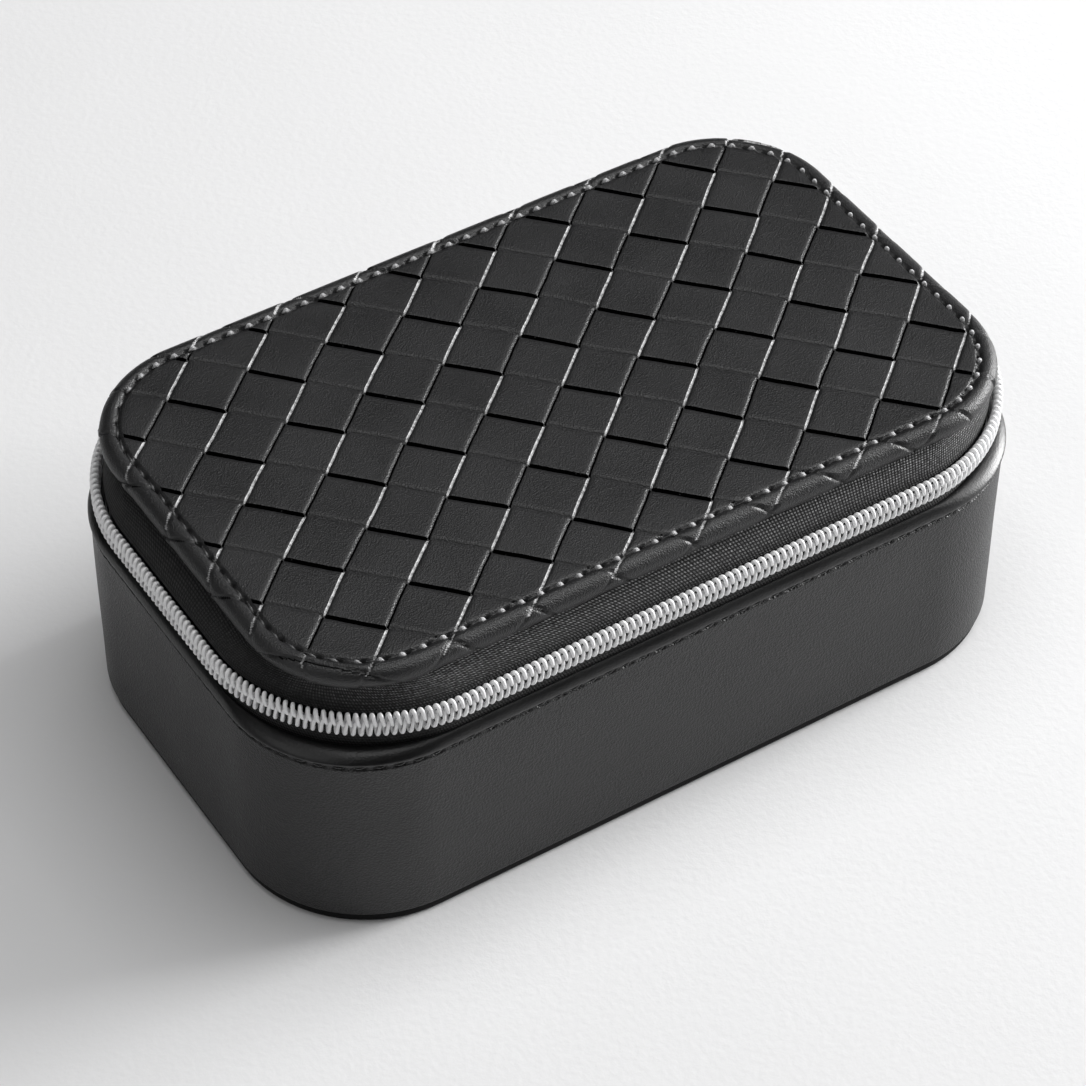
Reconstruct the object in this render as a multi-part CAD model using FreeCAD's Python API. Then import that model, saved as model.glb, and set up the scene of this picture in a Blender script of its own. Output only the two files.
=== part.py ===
"""Zip-round leather jewellery case.

A rounded box of leather over board, 164 mm wide, 100 mm deep and 64 mm high. The lid has a
woven-leather top with a rolled edge, turns on a leather strip at the back, and closes with
a coil zip that runs round the left side, the front and the right side.

Millimetres. +X runs along the long side, +Y points to the hinge side, +Z is up, and the
origin is the centre of the face that the case rests on.
"""

import math
import os

import FreeCAD
import Part

Vector = FreeCAD.Vector
UP = Vector(0, 0, 1)
FAR = 300.0

# ---------------------------------------------------------------- driving dimensions
# An outline is a rounded rectangle: (half length along X, half depth along Y, corner radius).
WALL = (82.0, 50.0, 27.0)
CHAIN = (82.3, 50.3, 33.0)
CAVITY = (78.8, 46.8, 29.0)
LID_SEAM = (75.0, 44.1, 19.7)

# Heights of the base
BOTTOM_PANEL_TOP = 2.0
FLOOR_BOARD_TOP = 4.0
FLOOR_LINING_TOP = 5.0
WALL_REBATE_Z = 41.0
WALL_LEATHER_TOP = 43.0
WALL_BOARD_TOP = 46.0
BASE_TOP = 46.8
BASE_STITCH_Z = 42.3

# Thicknesses
LEATHER = 1.2
LINING = 0.8
TAPE = 0.5
BOTTOM_INSET = 1.2
BOTTOM_EDGE_ROUND = 1.0
ROLL_BULGE = 0.5
ROLL_ROUND = 1.6

# Zip chain, standing on edge round the case
CHAIN_Z = 52.0
CHAIN_HALF_HEIGHT = 3.0
CHAIN_GAP = 0.9
TAPE_GAP = 1.0
COIL_OUT = 1.1
COIL_IN = -1.5
UPPER_COIL_END = 46.0
LOWER_COIL_END_RIGHT = 72.0
LOWER_COIL_END_LEFT = 46.0
STOP_ANGLE = 3.4
TAPE_END = 89.8

# Lid
EDGE_OFFSET = 1.1
EDGE_Z = 61.2
EDGE_RADIUS = 2.4
CORD_RADIUS = 1.45
WRAP_ANGLE = 118.0
LID_LEATHER_BOTTOM = 62.4
LID_LEATHER_TOP = 63.5
LID_BOARD_BOTTOM = 58.8
LID_BOARD_TOP = 60.8
LID_INSET = 1.6
TAPE_FLANGE_WIDTH = 5.0
TAPE_TUCK = 0.3
LID_LINING_BOTTOM = 57.4
LID_LINING_TOP = 58.2
LID_LINING_INSET = 0.5

# Thread
STITCH_LENGTH = 2.5
STITCH_WIDTH = 0.55
STITCH_HEIGHT = 0.4
BASE_STITCH_PITCH = 3.6
LID_STITCH_PITCH = 4.0
STITCH_CLEAR = 0.04

# Inside of the base
DIVIDER = 2.4
CROSS_DIVIDER_X = 9.6
CROSS_DIVIDER_TOP = 36.0
LONG_DIVIDER_TOP = 32.0
SHORT_DIVIDER_X = -34.0
ROLL_COUNT = 6
ROLL_PITCH = 11.0
ROLL_WIDTH = 10.6
ROLL_TOP = 31.0
ROLL_END_GAP = 0.6
FIT_GAP = 0.2

# Lid pocket
POCKET_HALF_X = 60.0
POCKET_FRONT = -36.0
POCKET_BACK = 20.0
POCKET_RADIUS = 12.0
POCKET_THICKNESS = 1.8
ELASTIC_DEPTH = 6.0
ELASTIC_THICKNESS = 2.6

# Hinge strip, as a section in the YZ plane
HINGE_HALF_X = 49.1
HINGE_SECTION = [
    (48.3, 41.0), (48.8, 41.0), (48.8, 47.0), (50.1, 50.0), (50.4, 52.5), (49.6, 55.6),
    (46.6, 58.6), (45.7, 58.6), (48.8, 55.1), (49.5, 52.5), (49.2, 50.3), (48.3, 47.6),
]
HINGE_LINING_SECTION = [
    (46.0, 47.0), (46.6, 47.0), (47.6, 52.0), (46.4, 56.2), (44.2, 57.3), (41.0, 57.3),
    (41.0, 56.8), (44.0, 56.8), (45.9, 55.8), (47.0, 52.0), (46.0, 47.4),
]
HINGE_LINING_HALF_X = 47.0

# Zip slider: distances from the centre of the rear right corner of the chain
SLIDER_ANGLE = 62.0
SLIDER_HALF_LENGTH = 4.0
FRONT_PLATE = (34.35, 35.15)
BACK_PLATE = (29.7, 30.5)
FLANGE_TIP = 31.8
PLATE_HALF_HEIGHT = 3.65
PLATE_CORNER = 1.2
BACK_PLATE_HALF_HEIGHT = 2.5
FLANGE_THICKNESS = 0.45
POST_HALF_HEIGHT = 0.6
POST_HALF_LENGTH = 1.3
BRIDGE_RADIUS = 0.5
BRIDGE_HALF_LENGTH = 3.0
BRIDGE_R = 37.7

# Pull
RING_RADIUS = 1.9
RING_WIRE = 0.4
RING_DROP = 0.9
TAB_THICKNESS = 1.0
TAB_HOLE_RADIUS = 1.0
TAB_HOLE_DROP = 3.25
TAB_RIM = 1.0
TAB_TOP_HALF_WIDTH = 2.1
TAB_END_HALF_WIDTH = 3.0
TAB_LENGTH = 20.0


# ---------------------------------------------------------------- outlines and solids
def grow(outline, distance):
    """The same outline, moved outward by a distance."""
    return tuple(size + distance for size in outline)


def corner_centre(outline):
    """Centre of the rear right corner arc."""
    half_x, half_y, radius = outline
    return half_x - radius, half_y - radius


def outline_wire(outline, z):
    """A rounded rectangle that starts on the right side and runs anticlockwise."""
    half_x, half_y, radius = outline
    centre_x, centre_y = corner_centre(outline)
    corners = [
        (centre_x, centre_y, 0), (-centre_x, centre_y, 90),
        (-centre_x, -centre_y, 180), (centre_x, -centre_y, 270),
    ]
    edges = []
    previous = Vector(half_x, -centre_y, z)
    for x, y, start in corners:
        points = []
        for angle in (start, start + 45, start + 90):
            turn = math.radians(angle)
            points.append(Vector(x + radius * math.cos(turn), y + radius * math.sin(turn), z))
        edges.append(Part.LineSegment(previous, points[0]).toShape())
        edges.append(Part.Arc(*points).toShape())
        previous = points[2]
    return Part.Wire(edges)


def prism(outline, bottom, top):
    """A solid rounded slab."""
    return Part.Face(outline_wire(outline, bottom)).extrude(Vector(0, 0, top - bottom))


def band(outer, inner, bottom, top):
    """A closed band between two outlines."""
    return prism(outer, bottom, top).cut(prism(inner, bottom - 1, top + 1))


def stack(levels):
    """A solid with straight sides through several (outline, height) levels."""
    wires = [outline_wire(outline, z) for outline, z in levels]
    return Part.makeLoft(wires, True, True)


def sheet_between(levels, thickness):
    """A thin band that follows the levels, with its outer face on them."""
    inner = [(grow(outline, -thickness), z) for outline, z in levels]
    first, last = inner[0], inner[-1]
    inner = [(first[0], first[1] - 1)] + inner + [(last[0], last[1] + 1)]
    return stack(levels).cut(stack(inner))


def wedge(side, start, end):
    """The zone between two angles round a rear corner of the chain; side is 1 or -1."""
    centre_x, centre_y = corner_centre(CHAIN)
    points = [Vector(side * centre_x, centre_y, 0)]
    for angle in (start, end):
        turn = math.radians(angle)
        x = centre_x + FAR * math.cos(turn)
        points.append(Vector(side * x, centre_y + FAR * math.sin(turn), 0))
    points.append(points[0])
    face = Part.Face(Part.makePolygon(points))
    return face.extrude(Vector(0, 0, FAR))


def rear_zone(right, left):
    """Everything behind the rays that leave the two rear corners at these angles."""
    centre_x, centre_y = corner_centre(CHAIN)
    right, left = math.radians(right), math.radians(left)
    points = [
        Vector(centre_x, centre_y, 0),
        Vector(centre_x + FAR * math.cos(right), centre_y + FAR * math.sin(right), 0),
        Vector(-centre_x - FAR * math.cos(left), centre_y + FAR * math.sin(left), 0),
        Vector(-centre_x, centre_y, 0),
        Vector(centre_x, centre_y, 0),
    ]
    return Part.Face(Part.makePolygon(points)).extrude(Vector(0, 0, FAR))


def swept(outline, z, section_points):
    """Sweep a closed section along an outline; the section is made at the outline's start."""
    path = outline_wire(outline, z)
    return path.makePipeShell([section_points], True, False)


def bead(outline, z, radius):
    """A round cord along an outline."""
    half_x, _, _ = outline
    _, centre_y = corner_centre(outline)
    circle = Part.makeCircle(radius, Vector(half_x, -centre_y, z), Vector(0, 1, 0))
    return swept(outline, z, Part.Wire([circle]))


def extruded_section(section, half_x):
    """A section in the YZ plane, extruded along X."""
    points = [Vector(-half_x, y, z) for y, z in section]
    points.append(points[0])
    return Part.Face(Part.makePolygon(points)).extrude(Vector(2 * half_x, 0, 0))


def cylinder_between(start, end, radius):
    """A round rod from one point to another."""
    return Part.makeCylinder(radius, (end - start).Length, start, end - start)


# ---------------------------------------------------------------- thread
def perimeter(outline):
    """Length of an outline."""
    centre_x, centre_y = corner_centre(outline)
    return 4 * (centre_x + centre_y) + 2 * math.pi * outline[2]


def point_along(outline, distance):
    """Point and heading in degrees at a distance along an outline."""
    half_x, half_y, radius = outline
    centre_x, centre_y = corner_centre(outline)
    straights = [2 * centre_y, 2 * centre_x, 2 * centre_y, 2 * centre_x]
    starts = [(half_x, -centre_y), (centre_x, half_y), (-half_x, centre_y), (-centre_x, -half_y)]
    centres = [(1, 1), (-1, 1), (-1, -1), (1, -1)]
    arc = radius * math.pi / 2
    for side in range(4):
        heading = 90 + 90 * side
        turn = math.radians(heading)
        if distance <= straights[side]:
            x, y = starts[side]
            return x + distance * math.cos(turn), y + distance * math.sin(turn), heading
        distance -= straights[side]
        if distance <= arc:
            swung = math.degrees(distance / radius)
            angle = math.radians(90 * side + swung)
            x = centres[side][0] * centre_x + radius * math.cos(angle)
            y = centres[side][1] * centre_y + radius * math.sin(angle)
            return x, y, heading + swung
        distance -= arc
    return half_x, -centre_y, 90


def thread(outline, z, pitch, across, height):
    """A row of stitches: separate short bars centred on an outline."""
    length = perimeter(outline)
    count = round(length / pitch)
    stitches = []
    for index in range(count):
        x, y, heading = point_along(outline, (index + 0.5) * length / count)
        corner = Vector(-STITCH_LENGTH / 2, -across / 2, 0)
        stitch = Part.makeBox(STITCH_LENGTH, across, height, corner)
        stitch.rotate(Vector(0, 0, 0), UP, heading)
        stitch.translate(Vector(x, y, z))
        stitches.append(stitch)
    return Part.makeCompound(stitches)


# ---------------------------------------------------------------- base
def base_bottom_panel():
    """Leather-covered panel that the case rests on, set in from the wall."""
    panel = prism(grow(WALL, -BOTTOM_INSET), 0, BOTTOM_PANEL_TOP)
    rim = [edge for edge in panel.Edges if edge.BoundBox.ZMax < 0.01]
    return panel.makeFillet(BOTTOM_EDGE_ROUND, rim)


def base_floor_board():
    """Stiff board of the floor, inside the wall leather."""
    return prism(grow(WALL, -LEATHER), BOTTOM_PANEL_TOP, FLOOR_BOARD_TOP)


def base_wall_board():
    """Stiff wall, with a rebate at the top for the zip tape."""
    low = band(grow(WALL, -LEATHER), CAVITY, FLOOR_BOARD_TOP, WALL_REBATE_Z)
    high = band(grow(CHAIN, COIL_IN - TAPE), CAVITY, WALL_REBATE_Z, WALL_BOARD_TOP)
    return low.fuse(high).removeSplitter()


def base_wall_leather():
    """Smooth leather round the wall, rounded where it turns under the floor."""
    outer = prism(WALL, BOTTOM_PANEL_TOP, WALL_LEATHER_TOP)
    rim = [edge for edge in outer.Edges if edge.BoundBox.ZMax < BOTTOM_PANEL_TOP + 0.01]
    outer = outer.makeFillet(BOTTOM_EDGE_ROUND, rim)
    return outer.cut(prism(grow(WALL, -LEATHER), BOTTOM_PANEL_TOP - 1, WALL_LEATHER_TOP + 1))


def base_top_roll():
    """Turned leather edge round the top of the base."""
    outer = prism(grow(WALL, ROLL_BULGE), WALL_LEATHER_TOP, BASE_TOP)
    rim = [edge for edge in outer.Edges if edge.BoundBox.ZLength < 0.01]
    outer = outer.makeFillet(ROLL_ROUND, rim)
    return outer.cut(prism(grow(CHAIN, COIL_IN), WALL_LEATHER_TOP - 1, BASE_TOP + 1))


def base_wall_stitching():
    """Thread row under the turned edge, lying on the wall leather."""
    line = grow(WALL, STITCH_HEIGHT / 2 + STITCH_CLEAR)
    return thread(line, BASE_STITCH_Z, BASE_STITCH_PITCH, STITCH_HEIGHT, STITCH_WIDTH)


def base_lining_wall():
    """Lining of the walls, turned over the top of the board."""
    inner = grow(CAVITY, -LINING)
    wall = band(CAVITY, inner, FLOOR_BOARD_TOP, BASE_TOP)
    cap = band(grow(CHAIN, COIL_IN - TAPE), CAVITY, WALL_BOARD_TOP, BASE_TOP)
    return wall.fuse(cap).removeSplitter()


def base_lining_floor():
    """Lining of the floor."""
    return prism(grow(CAVITY, -LINING), FLOOR_BOARD_TOP, FLOOR_LINING_TOP)


def divider_cross():
    """Padded wall between the ring rolls and the compartments."""
    half_y = CAVITY[1] - LINING - FIT_GAP
    corner = Vector(CROSS_DIVIDER_X - DIVIDER / 2, -half_y, FLOOR_LINING_TOP)
    return Part.makeBox(DIVIDER, 2 * half_y, CROSS_DIVIDER_TOP - FLOOR_LINING_TOP, corner)


def divider_long():
    """Padded wall between the front and back compartments."""
    left = -(CAVITY[0] - LINING - FIT_GAP)
    length = CROSS_DIVIDER_X - DIVIDER / 2 - left
    corner = Vector(left, -DIVIDER / 2, FLOOR_LINING_TOP)
    return Part.makeBox(length, DIVIDER, LONG_DIVIDER_TOP - FLOOR_LINING_TOP, corner)


def divider_short():
    """Padded wall that halves the front compartment."""
    front = -(CAVITY[1] - LINING - FIT_GAP)
    length = -DIVIDER / 2 - front
    corner = Vector(SHORT_DIVIDER_X - DIVIDER / 2, front, FLOOR_LINING_TOP)
    return Part.makeBox(DIVIDER, length, LONG_DIVIDER_TOP - FLOOR_LINING_TOP, corner)


def ring_roll(index):
    """Foam bar with a round top; rings are pushed into the slits between the bars."""
    first_x = CROSS_DIVIDER_X + DIVIDER / 2 + FIT_GAP + ROLL_WIDTH / 2
    x = first_x + index * ROLL_PITCH
    lining = grow(CAVITY, -LINING)
    centre_x, centre_y = corner_centre(lining)
    reach = max(0.0, x + ROLL_WIDTH / 2 - centre_x)
    half_y = centre_y + math.sqrt(lining[2] ** 2 - reach ** 2) - ROLL_END_GAP
    radius = ROLL_WIDTH / 2
    shoulder = ROLL_TOP - radius
    left, right = x - radius, x + radius
    section = Part.Wire([
        Part.LineSegment(Vector(right, -half_y, shoulder),
                         Vector(right, -half_y, FLOOR_LINING_TOP)).toShape(),
        Part.LineSegment(Vector(right, -half_y, FLOOR_LINING_TOP),
                         Vector(left, -half_y, FLOOR_LINING_TOP)).toShape(),
        Part.LineSegment(Vector(left, -half_y, FLOOR_LINING_TOP),
                         Vector(left, -half_y, shoulder)).toShape(),
        Part.Arc(Vector(left, -half_y, shoulder), Vector(x, -half_y, ROLL_TOP),
                 Vector(right, -half_y, shoulder)).toShape(),
    ])
    return Part.Face(section).extrude(Vector(0, 2 * half_y, 0))


# ---------------------------------------------------------------- zip
def zip_tape_lower():
    """Tape of the base, behind the turned edge."""
    outer = grow(CHAIN, COIL_IN)
    tape = band(outer, grow(outer, -TAPE), WALL_REBATE_Z, CHAIN_Z - TAPE_GAP)
    return tape.cut(rear_zone(TAPE_END, TAPE_END))


def coil_half(bottom, top):
    """A full turn of one half of the coil, as a plain strip."""
    return band(grow(CHAIN, COIL_OUT), grow(CHAIN, COIL_IN), bottom, top)


def lower_coil_ring():
    return coil_half(CHAIN_Z - CHAIN_HALF_HEIGHT, CHAIN_Z - CHAIN_GAP)


def upper_coil_ring():
    return coil_half(CHAIN_Z + CHAIN_GAP, CHAIN_Z + CHAIN_HALF_HEIGHT)


def zip_coil_lower():
    """Lower half of the coil; it runs on through the parked slider."""
    return lower_coil_ring().cut(rear_zone(LOWER_COIL_END_RIGHT, LOWER_COIL_END_LEFT))


def zip_coil_upper():
    """Upper half of the coil; it stops before the parked slider."""
    return upper_coil_ring().cut(rear_zone(UPPER_COIL_END, UPPER_COIL_END))


def stop_pair(coil, right, left):
    """Crimped metal stops at the two ends of a half of the coil."""
    gap = 0.1
    stops = []
    for side, angle in ((1, right), (-1, left)):
        zone = wedge(side, angle + gap, angle + STOP_ANGLE)
        stops.append(coil.common(zone))
    return Part.makeCompound([stop.Solids[0] for stop in stops])


def zip_stops_lower():
    return stop_pair(lower_coil_ring(), LOWER_COIL_END_RIGHT, LOWER_COIL_END_LEFT)


def zip_stops_upper():
    return stop_pair(upper_coil_ring(), UPPER_COIL_END, UPPER_COIL_END)


def upper_tape_ring():
    """Tape of the lid: level under the board, then sloping out and down to the coil."""
    chain_face = grow(CHAIN, COIL_IN)
    lid_face = grow(LID_SEAM, EDGE_OFFSET + TAPE_TUCK)
    levels = [
        (chain_face, CHAIN_Z + TAPE_GAP),
        (chain_face, CHAIN_Z + CHAIN_HALF_HEIGHT),
        (lid_face, LID_LINING_TOP),
        (lid_face, LID_BOARD_BOTTOM),
    ]
    skirt = sheet_between(levels, TAPE)
    inner = grow(lid_face, -TAPE)
    flange = band(inner, grow(inner, -TAPE_FLANGE_WIDTH), LID_LINING_TOP, LID_BOARD_BOTTOM)
    return skirt.fuse(flange)


def zip_tape_upper():
    return upper_tape_ring().cut(rear_zone(UPPER_COIL_END, UPPER_COIL_END))


def zip_end_gusset(side):
    """Fabric between the end of the zip and the hinge strip; it folds as the lid opens."""
    return upper_tape_ring().common(wedge(side, UPPER_COIL_END + 0.1, TAPE_END))


def on_track(shape):
    """Put a shape drawn round the vertical axis at its parked place on the rear corner."""
    centre_x, centre_y = corner_centre(CHAIN)
    shape.rotate(Vector(0, 0, 0), UP, SLIDER_ANGLE)
    shape.translate(Vector(centre_x, centre_y, CHAIN_Z))
    return shape


def centred_box(start_x, end_x, half_y, low_z, high_z):
    """A box from one radius to another, centred along the track."""
    return Part.makeBox(end_x - start_x, 2 * half_y, high_z - low_z,
                        Vector(start_x, -half_y, low_z))


def zip_slider_body():
    """Two plates joined by a post, with flanges that hold the coil."""
    half = SLIDER_HALF_LENGTH
    high = PLATE_HALF_HEIGHT
    body = centred_box(*FRONT_PLATE, half, -high, high)
    corners = [edge for edge in body.Edges
               if edge.BoundBox.XLength > 0.1 and edge.BoundBox.YLength < 0.01]
    body = body.makeFillet(PLATE_CORNER, corners)
    back = centred_box(*BACK_PLATE, half, -BACK_PLATE_HALF_HEIGHT, BACK_PLATE_HALF_HEIGHT)
    post = centred_box(BACK_PLATE[0], FRONT_PLATE[1] - 0.1, POST_HALF_LENGTH,
                       -POST_HALF_HEIGHT, POST_HALF_HEIGHT)
    body = body.fuse([back, post])
    flange_half = half - PLATE_CORNER
    for low, top in ((-high, FLANGE_THICKNESS - high), (high - FLANGE_THICKNESS, high)):
        body = body.fuse(centred_box(FLANGE_TIP, FRONT_PLATE[0] + 0.4, flange_half, low, top))
    return on_track(body.removeSplitter())


def zip_slider_bridge():
    """Wire arch on the front plate that the pull's ring hangs on."""
    ends = [Vector(BRIDGE_R, side * BRIDGE_HALF_LENGTH, 0) for side in (-1, 1)]
    arch = cylinder_between(ends[0], ends[1], BRIDGE_RADIUS)
    for end in ends:
        foot = Vector(FRONT_PLATE[1], end.y, 0)
        arch = arch.fuse(Part.makeSphere(BRIDGE_RADIUS, end))
        arch = arch.fuse(cylinder_between(foot, end, BRIDGE_RADIUS))
    return on_track(arch.removeSplitter())


def zip_pull_ring():
    """Small ring hanging on the arch."""
    centre = Vector(BRIDGE_R, 0, -RING_DROP)
    return on_track(Part.makeTorus(RING_RADIUS, RING_WIRE, centre, Vector(0, 1, 0)))


def zip_pull_tab():
    """Flat metal tab with an eye at the top and a round end."""
    top = TAB_HOLE_RADIUS + TAB_RIM - TAB_HOLE_DROP
    low = top - TAB_LENGTH
    x = BRIDGE_R - TAB_THICKNESS / 2
    shoulder = top - TAB_TOP_HALF_WIDTH
    tail = low + TAB_END_HALF_WIDTH
    wire = Part.Wire([
        Part.Arc(Vector(x, -TAB_TOP_HALF_WIDTH, shoulder), Vector(x, 0, top),
                 Vector(x, TAB_TOP_HALF_WIDTH, shoulder)).toShape(),
        Part.LineSegment(Vector(x, TAB_TOP_HALF_WIDTH, shoulder),
                         Vector(x, TAB_END_HALF_WIDTH, tail)).toShape(),
        Part.Arc(Vector(x, TAB_END_HALF_WIDTH, tail), Vector(x, 0, low),
                 Vector(x, -TAB_END_HALF_WIDTH, tail)).toShape(),
        Part.LineSegment(Vector(x, -TAB_END_HALF_WIDTH, tail),
                         Vector(x, -TAB_TOP_HALF_WIDTH, shoulder)).toShape(),
    ])
    tab = Part.Face(wire).extrude(Vector(TAB_THICKNESS, 0, 0))
    eye = cylinder_between(Vector(x - 1, 0, -TAB_HOLE_DROP),
                           Vector(x + 2, 0, -TAB_HOLE_DROP), TAB_HOLE_RADIUS)
    return on_track(tab.cut(eye))


# ---------------------------------------------------------------- lid
def edge_wrap():
    """Leather turned round the edge cord, as a C section open towards the lid board."""
    line = grow(LID_SEAM, EDGE_OFFSET)
    _, centre_y = corner_centre(line)

    def on_circle(radius, angle):
        turn = math.radians(angle)
        return Vector(line[0] + radius * math.cos(turn), -centre_y,
                      EDGE_Z + radius * math.sin(turn))

    inner = CORD_RADIUS + 0.03
    section = Part.Wire([
        Part.Arc(on_circle(EDGE_RADIUS, -WRAP_ANGLE), on_circle(EDGE_RADIUS, 0),
                 on_circle(EDGE_RADIUS, WRAP_ANGLE)).toShape(),
        Part.LineSegment(on_circle(EDGE_RADIUS, WRAP_ANGLE),
                         on_circle(inner, WRAP_ANGLE)).toShape(),
        Part.Arc(on_circle(inner, WRAP_ANGLE), on_circle(inner, 0),
                 on_circle(inner, -WRAP_ANGLE)).toShape(),
        Part.LineSegment(on_circle(inner, -WRAP_ANGLE),
                         on_circle(EDGE_RADIUS, -WRAP_ANGLE)).toShape(),
    ])
    return swept(line, EDGE_Z, section)


def lid_woven_leather():
    """Woven leather of the top, in one piece with the wrap round the edge cord."""
    top = prism(LID_SEAM, LID_LEATHER_BOTTOM, LID_LEATHER_TOP)
    top = top.cut(bead(grow(LID_SEAM, EDGE_OFFSET), EDGE_Z, CORD_RADIUS + 0.03))
    return top.fuse(edge_wrap()).removeSplitter()


def lid_edge_cord():
    """Filler cord inside the rolled edge."""
    return bead(grow(LID_SEAM, EDGE_OFFSET), EDGE_Z, CORD_RADIUS)


def lid_foam_pad():
    """Thin foam between the board and the woven leather."""
    return prism(grow(LID_SEAM, -LID_INSET), LID_BOARD_TOP, LID_LEATHER_BOTTOM)


def lid_board():
    """Stiff board of the lid."""
    return prism(grow(LID_SEAM, -LID_INSET), LID_BOARD_BOTTOM, LID_BOARD_TOP)


def lid_stitching():
    """Thread row along the foot of the rolled edge."""
    z = LID_LEATHER_TOP + STITCH_CLEAR
    return thread(LID_SEAM, z, LID_STITCH_PITCH, STITCH_WIDTH, STITCH_HEIGHT)


def lid_lining_panel():
    """Fabric-covered panel that closes the inside of the lid."""
    return prism(grow(LID_SEAM, -LID_LINING_INSET), LID_LINING_BOTTOM, LID_LINING_TOP)


def pocket_outline():
    half_y = (POCKET_BACK - POCKET_FRONT) / 2
    return (POCKET_HALF_X, half_y, POCKET_RADIUS)


def lid_pocket():
    """Flat gathered pocket on the inside of the lid, open along its hinge side."""
    pocket = prism(pocket_outline(), LID_LINING_BOTTOM - POCKET_THICKNESS, LID_LINING_BOTTOM)
    pocket.translate(Vector(0, (POCKET_BACK + POCKET_FRONT) / 2, 0))
    cut_y = POCKET_BACK - ELASTIC_DEPTH
    return pocket.cut(Part.makeBox(FAR, FAR, FAR, Vector(-FAR / 2, cut_y, 0)))


def lid_pocket_elastic():
    """Elastic hem along the pocket's mouth."""
    half_x = POCKET_HALF_X
    corner = Vector(-half_x, POCKET_BACK - ELASTIC_DEPTH, LID_LINING_BOTTOM - ELASTIC_THICKNESS)
    hem = Part.makeBox(2 * half_x, ELASTIC_DEPTH, ELASTIC_THICKNESS, corner)
    long_edges = [edge for edge in hem.Edges
                  if edge.BoundBox.XLength > 1 and edge.BoundBox.ZMax < LID_LINING_BOTTOM - 0.1]
    return hem.makeFillet(1.0, long_edges)


# ---------------------------------------------------------------- hinge
def hinge_leather():
    """Leather strip that joins the lid to the base along the back."""
    return extruded_section(HINGE_SECTION, HINGE_HALF_X)


def hinge_lining():
    """Lining strip on the inside of the hinge."""
    return extruded_section(HINGE_LINING_SECTION, HINGE_LINING_HALF_X)


# ---------------------------------------------------------------- output
def all_nodes():
    """Every separate piece of the case, by name."""
    nodes = {
        "base_bottom_panel": base_bottom_panel(),
        "base_floor_board": base_floor_board(),
        "base_wall_board": base_wall_board(),
        "base_wall_leather": base_wall_leather(),
        "base_top_roll": base_top_roll(),
        "base_wall_stitching": base_wall_stitching(),
        "base_lining_wall": base_lining_wall(),
        "base_lining_floor": base_lining_floor(),
        "divider_cross": divider_cross(),
        "divider_long": divider_long(),
        "divider_short": divider_short(),
        "zip_tape_lower": zip_tape_lower(),
        "zip_coil_lower": zip_coil_lower(),
        "zip_stops_lower": zip_stops_lower(),
        "zip_tape_upper": zip_tape_upper(),
        "zip_coil_upper": zip_coil_upper(),
        "zip_stops_upper": zip_stops_upper(),
        "zip_end_gusset_right": zip_end_gusset(1),
        "zip_end_gusset_left": zip_end_gusset(-1),
        "zip_slider_body": zip_slider_body(),
        "zip_slider_bridge": zip_slider_bridge(),
        "zip_pull_ring": zip_pull_ring(),
        "zip_pull_tab": zip_pull_tab(),
        "lid_woven_leather": lid_woven_leather(),
        "lid_edge_cord": lid_edge_cord(),
        "lid_foam_pad": lid_foam_pad(),
        "lid_board": lid_board(),
        "lid_stitching": lid_stitching(),
        "lid_lining_panel": lid_lining_panel(),
        "lid_pocket": lid_pocket(),
        "lid_pocket_elastic": lid_pocket_elastic(),
        "hinge_leather": hinge_leather(),
        "hinge_lining": hinge_lining(),
    }
    for index in range(ROLL_COUNT):
        nodes[f"ring_roll_{index + 1}"] = ring_roll(index)
    return nodes


def main():
    os.makedirs("parts", exist_ok=True)
    for name, shape in all_nodes().items():
        shape.exportStep(f"parts/{name}.step")
        state = "valid" if shape.isValid() else "INVALID"
        print(f"{name}: {len(shape.Solids)} solids, {shape.Volume:.1f} mm3, {state}")


main()
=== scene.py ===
"""Leather jewellery case, the visual model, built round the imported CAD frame.

The helpers work in millimetres and build_mesh turns them into metres. +X runs along the long
side, +Y points to the hinge side, and +Z is up.
"""

import math

import bmesh
import bpy
import numpy as np
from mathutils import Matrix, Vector, noise


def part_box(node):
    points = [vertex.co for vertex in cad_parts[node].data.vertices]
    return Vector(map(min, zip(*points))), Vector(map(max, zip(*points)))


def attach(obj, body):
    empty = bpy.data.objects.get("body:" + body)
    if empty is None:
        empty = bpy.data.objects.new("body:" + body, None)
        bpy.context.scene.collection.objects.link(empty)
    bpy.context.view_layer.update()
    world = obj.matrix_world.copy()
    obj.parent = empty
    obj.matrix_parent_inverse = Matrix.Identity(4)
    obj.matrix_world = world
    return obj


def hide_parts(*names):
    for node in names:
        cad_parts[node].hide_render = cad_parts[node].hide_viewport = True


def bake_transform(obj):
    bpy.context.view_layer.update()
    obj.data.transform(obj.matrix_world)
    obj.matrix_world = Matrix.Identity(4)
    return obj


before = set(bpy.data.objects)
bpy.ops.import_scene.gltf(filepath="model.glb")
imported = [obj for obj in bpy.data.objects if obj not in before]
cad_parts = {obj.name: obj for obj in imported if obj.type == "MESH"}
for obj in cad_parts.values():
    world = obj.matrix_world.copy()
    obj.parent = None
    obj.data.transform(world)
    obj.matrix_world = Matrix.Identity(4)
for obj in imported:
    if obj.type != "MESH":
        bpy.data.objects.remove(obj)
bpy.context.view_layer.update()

MM = 0.001


def reach(node):
    """Highest corner of a CAD node in millimetres."""
    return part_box(node)[1] / MM


def foot(node):
    """Lowest corner of a CAD node in millimetres."""
    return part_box(node)[0] / MM


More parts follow.
